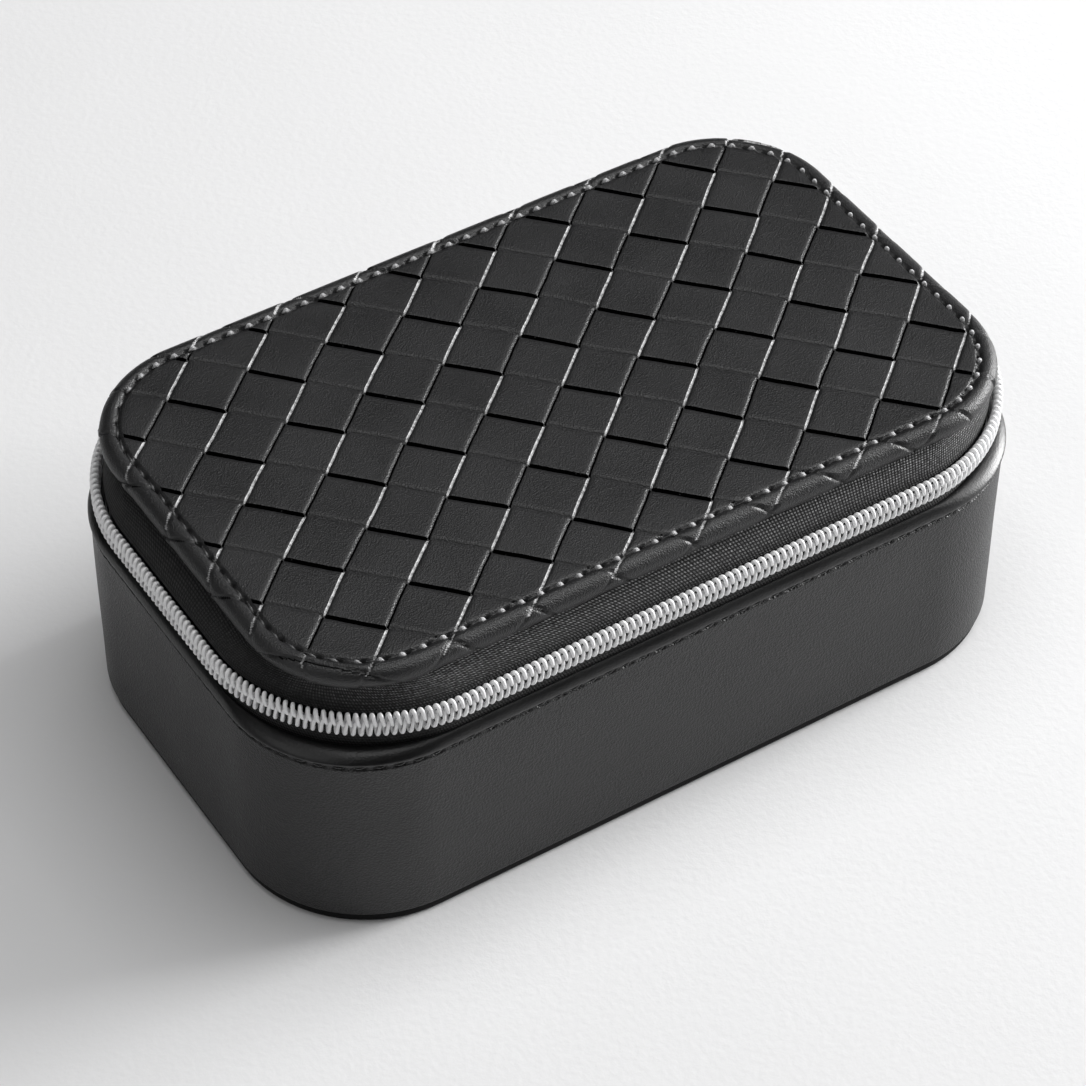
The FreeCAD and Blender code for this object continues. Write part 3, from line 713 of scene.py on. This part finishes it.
# ---------------------------------------------------------------- thread
def stitch_row(name, outline, pitch, length, thick, height_at, lean, bulge):
    """Separate arched stitches along an outline; height_at gives the height over the surface.

    With a bulge, each stitch has a knot near its end, pulled down on the left side; the knot carries a painted
    highlight.
    """
    total = float(distance_at(outline, 8))
    count = round(total / pitch)
    parts, knot_glint = [], []
    for index in range(count):
        middle = (index + 0.5) * total / count
        jitter = noise.noise_vector((index * 0.7, 3.1, 0.4))
        share = np.linspace(-0.5, 0.5, 11)
        along = middle + share * (length + 0.2 * jitter[0])
        plan, normal = place(outline, track_at(outline, along))
        # On the side turned away from the lamps (-X) the knots shrink and their painted highlight fades.
        shown = 0.25 + 0.75 * smooth(normal[5, 0], -0.9, -0.2)
        knot = np.exp(-((share - bulge * 0.25) / 0.17) ** 2) * shown
        rise = np.where(bulge > 0, 0.25 * np.cos(np.pi * share) + 0.75 * knot, np.cos(np.pi * share))
        out, z = height_at(rise, share, lean * share + 0.08 * jitter[1])
        centres = np.column_stack((plan + out[:, None] * normal, z))
        slim = 0.35 + 0.65 * np.cos(np.pi * share * 0.92)
        radius = thick * np.where(bulge > 0, 0.35 * slim + 0.95 * knot, slim)
        parts.append(tube(centres, radius, 7))
        knot_glint.append(np.repeat(knot[:-1] * bulge, 7))
    return merged(name, parts, None, {"knot_glint": np.concatenate(knot_glint)})


def lid_stitches():
    def height_at(rise, share, lean):
        return -0.16 + lean, LID_TOP - 0.72 + 0.58 * rise

    piece = stitch_row("lid_stitches", LID_SEAM, LID_STITCH_PITCH, 3.2, 0.42, height_at, 0.5, 1.0)
    finish_piece(piece, "lid", "thread", LID_THREAD, "lid_stitching")


def base_stitches():
    def height_at(rise, share, lean):
        return -0.50 + 0.36 * rise, BASE_STITCH_Z - 0.25 + lean

    piece = stitch_row("base_stitches", WALL, BASE_STITCH_PITCH, 2.6, 0.26, height_at, 0.35, 0.0)
    finish_piece(piece, "base", "thread", BASE_THREAD, "base_wall_stitching")


# ---------------------------------------------------------------- zip
def coil_half(name, side, start, end, phase, body, node):
    """One half of the coil: a flattened helix whose heads reach past the middle of the chain."""
    pitch = 1.415
    per_loop = 18
    first, last = distance_at(CHAIN, start), distance_at(CHAIN, end)
    loops = int((last - first) / pitch)
    turn = np.arange(loops * per_loop + 1) * 2 * np.pi / per_loop
    along = first + (turn / (2 * np.pi) + phase) * pitch
    plan, normal = place(CHAIN, track_at(CHAIN, along))
    wire = 0.31 + 0.10 * (1 - np.cos(turn)) / 2
    high = CHAIN_HALF - (0.95 if side > 0 else 0.46)
    low = -0.42
    middle, swing = (high + low) / 2, (high - low) / 2
    lift = middle - swing * np.cos(turn)
    deep = (COIL_OUT - LOOP_IN) / 2 + ((COIL_OUT + LOOP_IN) / 2 - 0.43) * -np.sin(turn)
    centres = np.column_stack((plan + deep[:, None] * normal, CHAIN_Z + side * lift))
    points, faces = tube(centres, wire, 8)
    piece = build_mesh(name, points, faces)
    finish_piece(piece, body, "zip_coil", COIL_WIRE, node)


def zip_coils():
    left = 4 - UPPER_COIL_END / 90
    right = 9 + UPPER_COIL_END / 90
    coil_half("zip_coil_loops_upper", 1, left, right, 0.0, "lid", "zip_coil_upper")
    right = 9 + LOWER_COIL_END / 90
    coil_half("zip_coil_loops_lower", -1, left, right, 0.5, "base", "zip_coil_lower")


def upper_tape_levels():
    """Outer face of the lid's tape, from the coil up to its tucked flange."""
    chain_face = grow(CHAIN, -COIL_IN)
    lid_face = grow(LID_SEAM, EDGE_OFFSET + 0.3)
    low, high = foot("zip_tape_upper").z, reach("zip_tape_upper").z
    heights = [(chain_face, low), (chain_face, CHAIN_Z + CHAIN_HALF), (lid_face, high - 0.6), (lid_face, high)]
    heights.append((grow(lid_face, -5.0), high))
    return [(*outline, height) for outline, height in heights]


def tape_skin(name, levels, start, end, outline):
    """A strip of tape through levels, with rounded bends, and its grid of points."""
    rows = rounded(levels, 2)
    tracks = stations(outline, 1.2, start, end)
    points = levels_grid([(tuple(row[:3]), row[3]) for row in rows], tracks)
    return grid_piece(name, points, cloth_attributes(points, tracks, outline)), points


def zip_tapes():
    left, right = 4 - UPPER_COIL_END / 90, 9 + UPPER_COIL_END / 90
    upper, points = tape_skin("zip_tape_lid_side", upper_tape_levels(), left, right, CHAIN)
    finish_piece(upper, "lid", "zip_tape", TAPE_CLOTH, "zip_tape_upper")
    face = grow(CHAIN, -COIL_IN)
    low, high = foot("zip_tape_lower").z, reach("zip_tape_lower").z
    levels = [(*face, low), (*face, (low + high) / 2), (*face, high)]
    lower, _ = tape_skin("zip_tape_base_side", levels, 4 - TAPE_END / 90, 9 + TAPE_END / 90, CHAIN)
    # The base side tape uses the copy with painted shade.
    finish_piece(lower, "base", "zip_tape", TAPE_PAINTED_SHADE, "zip_tape_lower")


# ---------------------------------------------------------------- base outside
def pucker(tracks, pitch=BASE_STITCH_PITCH):
    """1 at the middle of each base stitch and 0 at its needle holes."""
    total = float(distance_at(WALL, 8))
    count = round(total / pitch)
    phase = distance_at(WALL, tracks) / total * count
    return 0.5 - 0.5 * np.cos(2 * np.pi * phase)


def base_wall():
    """Leather of the wall, with a soft turn at the bottom and a groove for the stitches."""
    heights = np.concatenate((
        WALL_FOOT + np.array((0.0, 0.04, 0.13, 0.30, 0.65)),
        np.linspace(WALL_FOOT + 1.2, BASE_STITCH_Z - 2.4, 24),
        np.linspace(BASE_STITCH_Z - 1.6, WALL_TOP + 0.3, 15),
    ))
    tracks = stations(WALL, 0.6)
    plan, normal = place(WALL, tracks)
    height = heights[:, None]
    pulled = pucker(tracks)[None]
    turn_in = np.clip((WALL_FOOT + 0.65 - height) / 0.65, 0, 1)
    away = -0.75 * (1 - np.sqrt(np.clip(1 - turn_in ** 2, 0, 1)))
    away = away - (0.15 + 0.6 * pulled) * smooth(height, BASE_STITCH_Z - 1.0, BASE_STITCH_Z - 0.65)
    points = np.concatenate((np.broadcast_to(plan, (len(heights), *plan.shape)),
                             np.broadcast_to(height, (len(heights), len(plan)))[..., None]), -1)
    sag = wobble(points, 26.0, 0.22)[..., 0] * smooth(height, 3, 9) * (1 - smooth(height, 36, 41))
    points[..., :2] += (away + sag)[..., None] * normal[None]
    piece = grid_piece("base_wall_cover", points)
    finish_piece(piece, "base", "smooth_leather", SMOOTH_LEATHER, "base_wall_leather")


def base_edge_roll():
    """Turned edge of the base: a soft band, wider at the corners, gathered by the stitches."""
    inner = grow(CHAIN, -COIL_IN)
    outer = grow(WALL, 0.4)
    profile = np.array((
        (0.0, WALL_TOP - 1.0), (0.0, BASE_TOP - 2.4), (0.10, BASE_TOP - 1.6), (0.34, BASE_TOP - 1.5),
        (0.68, BASE_TOP - 2.0), (0.92, BASE_TOP - 2.7), (1.04, BASE_TOP - 3.3), (1.00, BASE_TOP - 3.7),
        (0.80, BASE_TOP - 3.8), (0.50, BASE_TOP - 3.8),
    ))
    rows = rounded(profile, 2)
    tracks = stations(WALL, 0.6)
    start, _ = place(inner, tracks)
    stop, normal = place(outer, tracks)
    pulled = pucker(tracks)
    share = rows[:, 0][:, None, None]
    plan = start[None] * (1 - share) + stop[None] * share
    low = smooth(-rows[:, 1], -(BASE_TOP - 3.3), -(BASE_TOP - 3.75))[:, None]
    outer_side = (rows[:, 0] > 0.5)[:, None] * low
    height = rows[:, 1][:, None] - outer_side * 0.40 * (1 - pulled ** 0.5)[None]
    away = -outer_side * 0.15 * (1 - pulled)[None]
    plan = plan + away[..., None] * normal[None]
    points = np.concatenate((plan, height[..., None]), -1)
    crease = wobble(points, 5.0, 0.02)[..., 0] + wobble(points, 22.0, 0.10)[..., 1]
    face = (rows[:, 0] > 0.08)[:, None]
    points = points + grid_normals(points) * -(crease * face)[..., None]
    piece = grid_piece("base_edge_roll", points[::-1])
    finish_piece(piece, "base", "smooth_leather", ROLLED_LEATHER, "base_top_roll")


def base_bottom():
    """Leather-covered panel under the case, set in from the wall."""
    edge = grow(WALL, -0.45)
    profile = [(1.5, WALL_FOOT + 0.9), (0.1, WALL_FOOT + 0.9), (0.0, WALL_FOOT), (0.05, 0.6), (0.5, 0.05), (3.0, 0.0)]
    rows = rounded([(*grow(edge, -inset), height) for inset, height in profile][::-1], 2)
    levels = [(tuple(row[:3]), row[3]) for row in rows]
    centre = [(shrink(grow(edge, -3.0), share), 0.0) for share in (0.02, 0.25, 0.5, 0.75, 0.95)]
    tracks = stations(WALL, 2.0)
    points = levels_grid(centre + levels, tracks)
    piece = grid_piece("base_bottom_cover", points)
    # The bottom cover's darker colour is painted shade.
    finish_piece(piece, "base", "smooth_leather", MATT_SHADED_LEATHER, "base_bottom_panel")


# ---------------------------------------------------------------- closed soft pieces
def closed_piece(name, sections, attributes=None):
    """A closed skin through rings of points, with both ends filled."""
    sections = np.asarray(sections, float)
    count, sides = sections.shape[:2]
    index = np.arange(count * sides).reshape(count, sides)
    after = np.roll(index, -1, axis=1)
    quads = (index[:-1], after[:-1], after[1:], index[1:])
    faces = np.stack([quad.ravel() for quad in quads], 1)
    piece = build_mesh(name, sections.reshape(-1, 3), faces, attributes)
    mesh = bmesh.new()
    mesh.from_mesh(piece.data)
    bmesh.ops.holes_fill(mesh, edges=[edge for edge in mesh.edges if edge.is_boundary], sides=0)
    bmesh.ops.recalc_face_normals(mesh, faces=mesh.faces)
    mesh.to_mesh(piece.data)
    mesh.free()
    return piece


def end_rounding(places, low, high, radius):
    """How far a section draws in near the two ends of a bar."""
    near = np.minimum(places - low, high - places)
    inside = np.clip(near / radius, 0, 1)
    return radius * (1 - np.sqrt(np.clip(1 - (1 - inside) ** 2, 0, 1)))


def end_steps(low, high, radius, spacing):
    """Places along a bar, closer together where its ends turn."""
    turn = radius * (1 - np.cos(np.linspace(0, math.pi / 2, 6)))
    middle = np.linspace(low + radius, high - radius, max(3, round((high - low) / spacing)))
    return np.concatenate((low + turn[:-1], middle, high - turn[:-1][::-1]))


def arch_section(half, low, high, round_top, count=9):
    """Half a bar's outline from the middle of its foot to the middle of its top."""
    angle = np.linspace(0, math.pi / 2, count)
    across = half - round_top * (1 - np.cos(angle))
    up = high - round_top * (1 - np.sin(angle))
    side = np.linspace(low + 0.6, high - round_top, 7)[:-1]
    foot_across = [0.0, half * 0.6, half - 0.5, half - 0.12]
    foot_up = [low, low, low + 0.02, low + 0.2]
    return (np.concatenate((foot_across, np.full(6, half), across)),
            np.concatenate((foot_up, side, up)))


def bar(name, low, high, along, round_top, round_end, puff, ripple):
    """A padded bar with a round top between two corners; along is 0 for X and 1 for Y."""
    across_axis = 1 - along
    half = (high[across_axis] - low[across_axis]) / 2
    middle = (high[across_axis] + low[across_axis]) / 2
    places = end_steps(low[along], high[along], round_end, 2.0)
    across, up = arch_section(half, low[2], high[2], round_top)
    across = np.concatenate((across, -across[-2:0:-1]))
    up = np.concatenate((up, up[-2:0:-1]))
    draw = end_rounding(places, low[along], high[along], round_end)
    sections = np.zeros((len(places), len(across), 3))
    sections[..., along] = places[:, None]
    sections[..., across_axis] = middle + across * (1 - draw / half)[:, None]
    sections[..., 2] = low[2] + (up - low[2]) * (1 - draw / (high[2] - low[2]))[:, None]
    share = (up - low[2]) / (high[2] - low[2])
    wave = wobble(sections, 9.0, ripple) + wobble(sections, 3.0, ripple * 0.3)
    tuck = -puff * (1 - smooth(share, 0.0, 0.25))
    sections[..., across_axis] += np.sign(across) * (tuck + np.minimum(wave[..., 0], 0))
    sections[..., 2] += np.minimum(wave[..., 1], 0) * smooth(share, 0.6, 1.0)
    return closed_piece(name, sections)


# ---------------------------------------------------------------- inside of the base
def lining_wall():
    """Suede lining of the walls, turned over the top of the board and eased into the floor."""
    tape_side = grow(CHAIN, -COIL_IN - 0.55)
    levels = [
        (*tape_side, BASE_TOP - 2.6), (*grow(tape_side, -0.02), BASE_TOP - 0.8), (*grow(tape_side, -0.25), BASE_TOP - 0.05),
        (*grow(LINING, 1.2), BASE_TOP - 0.05), (*grow(LINING, 0.12), BASE_TOP - 0.5),
        (*LINING, BASE_TOP - 2.0), (*LINING, 32.0), (*LINING, 18.0), (*LINING, FLOOR_TOP + 2.4),
        (*grow(LINING, -0.3), FLOOR_TOP + 0.7), (*grow(LINING, -1.0), FLOOR_TOP + 0.08),
        (*grow(LINING, -2.0), FLOOR_TOP + 0.02),
    ]
    rows = rounded(levels, 2)
    points = levels_grid([(tuple(row[:3]), row[3]) for row in rows], stations(LINING, 2.0))
    soft = wobble(points, 14.0, 0.28)[..., 0] + wobble(points, 4.0, 0.06)[..., 1]
    below_rim = smooth(-points[..., 2], -(BASE_TOP - 1.0), -(BASE_TOP - 5.0))
    points = points - grid_normals(points) * (np.abs(soft) * below_rim)[..., None]
    piece = grid_piece("lining_wall", points)
    finish_piece(piece, "base", "lining", LINING_SUEDE, "base_lining_wall")


def disc(name, edge_rows, centre_rows, outline, spacing, up):
    """A panel: rings shrinking to the centre, joined to an edge; up turns it face up."""
    levels = [(*shrink(outline, share), height) for share, height in centre_rows]
    levels = levels + list(edge_rows)
    points = levels_grid([(tuple(row[:3]), row[3]) for row in levels], stations(outline, spacing))
    return points[::-1] if up else points


def lining_floor():
    """Suede pad on the floor, slightly crowned between the dividers."""
    shares = (0.01, 0.1, 0.2, 0.3, 0.4, 0.5, 0.6, 0.7, 0.8, 0.88, 0.94, 0.975)
    rows = [(share, FLOOR_TOP) for share in shares]
    edge = [(*grow(LINING, -0.5), FLOOR_TOP - 0.15), (*grow(LINING, -0.1), FLOOR_TOP - 0.8)]
    points = disc("lining_floor", edge, rows, LINING, 3.0, True)
    points[..., 2] -= np.abs(wobble(points, 16.0, 0.14)[..., 2])
    piece = grid_piece("lining_floor_pad", points)
    finish_piece(piece, "base", "lining", LINING_SUEDE, "base_lining_floor")


def dividers():
    for node, along in (("divider_cross", 1), ("divider_long", 0), ("divider_short", 1)):
        low, high = np.array(foot(node)), np.array(reach(node))
        piece = bar(f"{node}_padded", low, high, along, 1.15, 0.5, 0.12, 0.10)
        finish_piece(piece, "base", "lining", LINING_SUEDE, node)


def ring_rolls():
    nodes = sorted(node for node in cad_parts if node.startswith("ring_roll_"))
    for node in nodes:
        low, high = np.array(foot(node)), np.array(reach(node))
        half = (high[0] - low[0]) / 2
        piece = bar(f"{node}_padded", low, high, 1, half - 0.05, 2.6, 0.1, 0.28)
        finish_piece(piece, "base", "lining", LINING_SUEDE, node)


# ---------------------------------------------------------------- inside of the lid
def lid_lining():
    """Fabric-covered panel that closes the inside of the lid."""
    low, high = foot("lid_lining_panel").z, reach("lid_lining_panel").z
    outline = grow(LID_SEAM, -0.5)
    rows = [(share, low + 0.05) for share in (0.01, 0.15, 0.3, 0.45, 0.6, 0.72, 0.82, 0.9, 0.95)]
    edge = [(*grow(outline, -1.2), low + 0.03), (*grow(outline, -0.5), low + 0.02),
            (*grow(outline, -0.1), low + 0.25), (*outline, (low + high) / 2), (*outline, high)]
    points = disc("lid_lining", edge, rows, outline, 2.5, False)
    points[..., 2] += np.abs(wobble(points, 20.0, 0.08)[..., 2])
    piece = grid_piece("lid_lining_cover", points)
    finish_piece(piece, "lid", "lining", LINING_SUEDE, "lid_lining_panel")


def pocket():
    """Gathered pocket: fullness held by the elastic at its mouth, eased flat at its sewn edge."""
    box_low, box_high = foot("lid_pocket"), reach("lid_pocket")
    radius = 12.0
    x = np.linspace(box_low.x + 0.3, box_high.x - 0.3, 241)
    corner = np.maximum(np.abs(x) - (box_high.x - radius), 0)
    front = box_low.y + radius - np.sqrt(np.clip(radius ** 2 - corner ** 2, 0, None))
    back = box_high.y + 0.6
    share = np.linspace(0, 1, 34)[:, None]
    y = front[None] + (back - front[None]) * share
    grid_x = np.broadcast_to(x, y.shape)
    sides = smooth(box_high.x - np.abs(grid_x), 0.0, 6.0) * smooth(y - front[None], 0.0, 5.0)
    fold = wobble(np.stack((grid_x * 0.25, y * 0.05, np.zeros_like(y)), -1), 1.0, 2.2)[..., 0]
    ripple = np.sin(2 * np.pi * grid_x / 5.2 + fold)
    bulge = 0.75 * sides * (0.5 + 0.5 * np.sin(np.pi * np.clip(share, 0, 1)))
    depth = 0.22 + bulge + 0.5 * ripple * sides * (0.2 + 0.8 * share)
    points = np.stack((grid_x, y, box_high.z - np.clip(depth, 0.12, 1.7)), -1)
    piece = grid_piece("pocket_gathered", points)
    finish_piece(piece, "lid", "pocket", POCKET_CLOTH, "lid_pocket")
    hem = pocket_elastic()


def pocket_elastic():
    """Elastic hem: a soft band with the cloth ruched round it."""
    low, high = foot("lid_pocket_elastic"), reach("lid_pocket_elastic")
    x = end_steps(low.x, high.x, 1.0, 0.75)
    turn = np.linspace(0, 2 * np.pi, 20, endpoint=False)
    ruche = 0.5 + 0.5 * np.sin(2 * np.pi * x / 2.6 + 1.4 * np.sin(x * 0.31))
    draw = 1 - end_rounding(x, low.x, high.x, 1.0) * 0.5
    half_y = (high.y - low.y) / 2 * (0.90 + 0.10 * ruche) * draw
    half_z = (high.z - low.z - 0.15) / 2 * (0.80 + 0.20 * ruche) * draw
    box_turn_y = np.sign(np.cos(turn)) * np.abs(np.cos(turn)) ** 0.6
    box_turn_z = np.sign(np.sin(turn)) * np.abs(np.sin(turn)) ** 0.8
    sections = np.zeros((len(x), len(turn), 3))
    sections[..., 0] = x[:, None]
    sections[..., 1] = (high.y + low.y) / 2 + half_y[:, None] * box_turn_y
    sections[..., 2] = (high.z + low.z - 0.1) / 2 + half_z[:, None] * box_turn_z
    piece = closed_piece("pocket_elastic_hem", sections)
    return finish_piece(piece, "lid", "elastic", POCKET_CLOTH, "lid_pocket_elastic")


def lid_filling():
    """Foam under the woven leather and the cord inside its rolled edge."""
    low, high = foot("lid_foam_pad").z, reach("lid_foam_pad").z - 0.55
    outline = grow(LID_SEAM, -1.6)
    bottom = disc("foam", [(*outline, low), (*outline, (low + high) / 2)],
                  [(share, low) for share in (0.01, 0.3, 0.6, 0.9)], outline, 4.0, False)
    top = disc("foam", [(*outline, high)], [(share, high) for share in (0.01, 0.3, 0.6, 0.9, 0.985)],
               outline, 4.0, True)
    piece = grid_piece("lid_foam_layer", np.concatenate((bottom, top)))
    finish_piece(piece, "lid", "foam", FOAM, "lid_foam_pad")
    line = grow(LID_SEAM, EDGE_OFFSET)
    plan, _ = place(line, stations(line, 1.5))
    centres = np.column_stack((plan, np.full(len(plan), EDGE_Z)))
    piece = build_mesh("edge_filler_cord", *tube(centres, 1.3, 12))
    finish_piece(piece, "lid", "foam", FOAM, "lid_edge_cord")


# ---------------------------------------------------------------- hinge and zip ends
def strip_points(profile, half_x, spacing, soften):
    """A strip along X whose section is a line of (y, z) points."""
    rows = rounded(profile, 2)
    x = np.linspace(-half_x, half_x, math.ceil(2 * half_x / spacing) + 1)
    points = np.zeros((len(rows), len(x), 3))
    points[..., 0] = x
    points[..., 1:] = rows[:, None]
    soft = wobble(points, 9.0, soften)[..., 0]
    points[..., 1] += soft
    return points


def thicken(piece, thickness, side=-1.0):
    """Give a sheet its thickness, on the side of its back faces."""
    solid = piece.modifiers.new("thickness", "SOLIDIFY")
    solid.thickness = thickness * MM
    solid.offset = side
    return piece


def apply_modifiers(piece):
    """Turn a piece's modifiers into its final mesh."""
    graph = bpy.context.evaluated_depsgraph_get()
    final = bpy.data.meshes.new_from_object(piece.evaluated_get(graph))
    piece.modifiers.clear()
    piece.data = final
    return piece


def hinge_strip():
    """Leather strip that joins lid and base along the back."""
    low, high = foot("hinge_leather"), reach("hinge_leather")
    outer = [(WALL[1] - 1.2, low.z), (WALL[1] - 1.2, low.z + 5.2), (WALL[1] - 0.3, low.z + 7.6),
             (WALL[1] + 0.25, low.z + 10.2), (WALL[1] + 0.1, low.z + 12.2), (WALL[1] - 1.0, low.z + 14.9),
             (WALL[1] - 3.4, high.z)]
    points = strip_points(outer, high.x, 1.0, 0.12)
    piece = grid_piece("hinge_strip", points[:, ::-1])
    apply_modifiers(thicken(piece, 0.45))
    finish_piece(piece, None, "smooth_leather", SMOOTH_LEATHER, "hinge_leather")
    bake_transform(piece)
    low, high = foot("hinge_lining"), reach("hinge_lining")
    inner = [(high.y - 1.4, low.z), (high.y - 0.9, low.z + 1.8), (high.y - 0.35, low.z + 5.0),
             (high.y - 0.9, low.z + 8.3), (high.y - 3.2, high.z - 0.25), (low.y, high.z - 0.25)]
    points = strip_points(inner, high.x + 1.2, 1.5, 0.10)
    piece = grid_piece("hinge_inner_strip", points)
    apply_modifiers(thicken(piece, 0.4, 1.0))
    finish_piece(piece, None, "lining", LINING_SUEDE, "hinge_lining")
    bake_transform(piece)


def zip_gussets():
    """Tape between each end of the zip and the hinge strip; on the real case it folds as the lid opens, here it keeps
    one shape.
    """
    right = (1 + (UPPER_COIL_END + 0.1) / 90, 1 + TAPE_END / 90)
    left = (4 - TAPE_END / 90, 4 - (UPPER_COIL_END + 0.1) / 90)
    for side, (start, end) in (("right", right), ("left", left)):
        sewn = grow(CHAIN, -COIL_IN - 0.2)
        rows = rounded([(*sewn, reach("zip_tape_lower").z - 1.6)] + upper_tape_levels(), 2)
        tracks = stations(CHAIN, 0.8, start, end)
        points = levels_grid([(tuple(row[:3]), row[3]) for row in rows], tracks)
        piece = grid_piece(f"zip_gusset_{side}", points, cloth_attributes(points, tracks, CHAIN))
        apply_modifiers(thicken(piece, 0.4))
        finish_piece(piece, None, "zip_tape", TAPE_CLOTH, f"zip_end_gusset_{side}")
        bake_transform(piece)


# ---------------------------------------------------------------- metal parts and boards
def zip_metal():
    """Slider, bridge, ring, tab and stops keep their CAD shape, with softened edges."""
    for node in ("zip_slider_body", "zip_slider_bridge", "zip_pull_ring", "zip_pull_tab",
                 "zip_stops_lower", "zip_stops_upper"):
        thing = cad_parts[node]
        thing.data.materials.clear()
        thing.data.materials.append(ZIP_METAL)
        if node in ("zip_slider_body", "zip_pull_tab", "zip_stops_lower", "zip_stops_upper"):
            edge = thing.modifiers.new("soft edges", "BEVEL")
            edge.width = 0.12 * MM
            edge.segments = 3
            edge.limit_method = "ANGLE"


def boards():
    for node in ("base_floor_board", "base_wall_board", "lid_board"):
        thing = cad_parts[node]
        thing.data.materials.clear()
        thing.data.materials.append(BOARD)


# ---------------------------------------------------------------- stage
def look_along(thing, back, roll=0.0):
    """Turn a camera or light so that it looks along minus back."""
    turn = (-Vector(back)).to_track_quat("-Z", "Y")
    thing.rotation_mode = "QUATERNION"
    thing.rotation_quaternion = turn
    thing.rotation_quaternion.rotate(turn.__class__(Vector(back), math.radians(roll)))


def camera():
    data = bpy.data.cameras.new("camera")
    data.sensor_width = 36.0
    data.lens = 126.2
    data.clip_start = 0.05
    data.clip_end = 20.0
    thing = bpy.data.objects.new("camera", data)
    bpy.context.collection.objects.link(thing)
    azimuth, elevation = math.radians(-32.77), math.radians(44.96)
    back = (math.sin(azimuth) * math.cos(elevation), -math.cos(azimuth) * math.cos(elevation), math.sin(elevation))
    thing.location = Vector((-280.9, -433.6, 538.1)) * MM
    look_along(thing, back, 0.40)
    bpy.context.scene.camera = thing


def area_light(name, place_at, aim, size, power, shape=None):
    data = bpy.data.lights.new(name, "AREA")
    data.shape = "RECTANGLE"
    data.size, data.size_y = size
    data.energy = power
    thing = bpy.data.objects.new(name, data)
    bpy.context.collection.objects.link(thing)
    thing.location = Vector(place_at)
    look_along(thing, (Vector(place_at) - Vector(aim)).normalized())
    return thing


def floor():
    """Plain pale floor, big enough that its edge never shows."""
    size = 6000.0
    points = [(-size, -size, 0), (size, -size, 0), (size, size, 0), (-size, size, 0)]
    piece = build_mesh("floor", points, [(0, 1, 2, 3)])
    mat = Shader("pale_floor", Roughness=0.9, Specular_IOR_Level=0.2)
    where = mat.place()
    mat.colour(mat.mix(mat.noise(where, 0.02, 2.0), (0.80, 0.80, 0.805), (0.83, 0.83, 0.835)))
    mat.bump(mat.noise(where, 0.6, 3.0), 0.05)
    piece.data.materials.append(mat.material)


def toward(azimuth, elevation, distance):
    """A place seen from the origin; azimuth 0 is +X and grows towards +Y, in degrees and metres."""
    turn, rise = math.radians(azimuth), math.radians(elevation)
    flat = math.cos(rise)
    return Vector((flat * math.cos(turn), flat * math.sin(turn), math.sin(rise))) * distance


def lights():
    aim = (0, 0, 0.03)
    area_light("key", toward(-8, 14, 1.5), aim, (0.7, 0.7), 41.0)
    area_light("upper_key", toward(-8, 50, 1.5), aim, (0.8, 0.8), 5.0)
    area_light("overhead", toward(0, 85, 1.5), aim, (1.2, 1.2), 11.0)
    area_light("left_fill", toward(190, 40, 1.5), aim, (1.0, 1.0), 3.0)
    world = bpy.data.worlds.new("studio")
    bpy.context.scene.world = world
    world.use_nodes = True
    background = world.node_tree.nodes["Background"]
    background.inputs["Color"].default_value = (1.0, 1.0, 1.0, 1.0)
    background.inputs["Strength"].default_value = 0.01
    bpy.context.scene.view_settings.view_transform = "Standard"


camera()
lights()
floor()
lid_woven_top()
lid_stitches()
zip_coils()
zip_tapes()
base_wall()
base_edge_roll()
base_stitches()
base_bottom()
lining_wall()
lining_floor()
dividers()
ring_rolls()
lid_lining()
pocket()
lid_filling()
hinge_strip()
zip_gussets()
zip_metal()
boards()
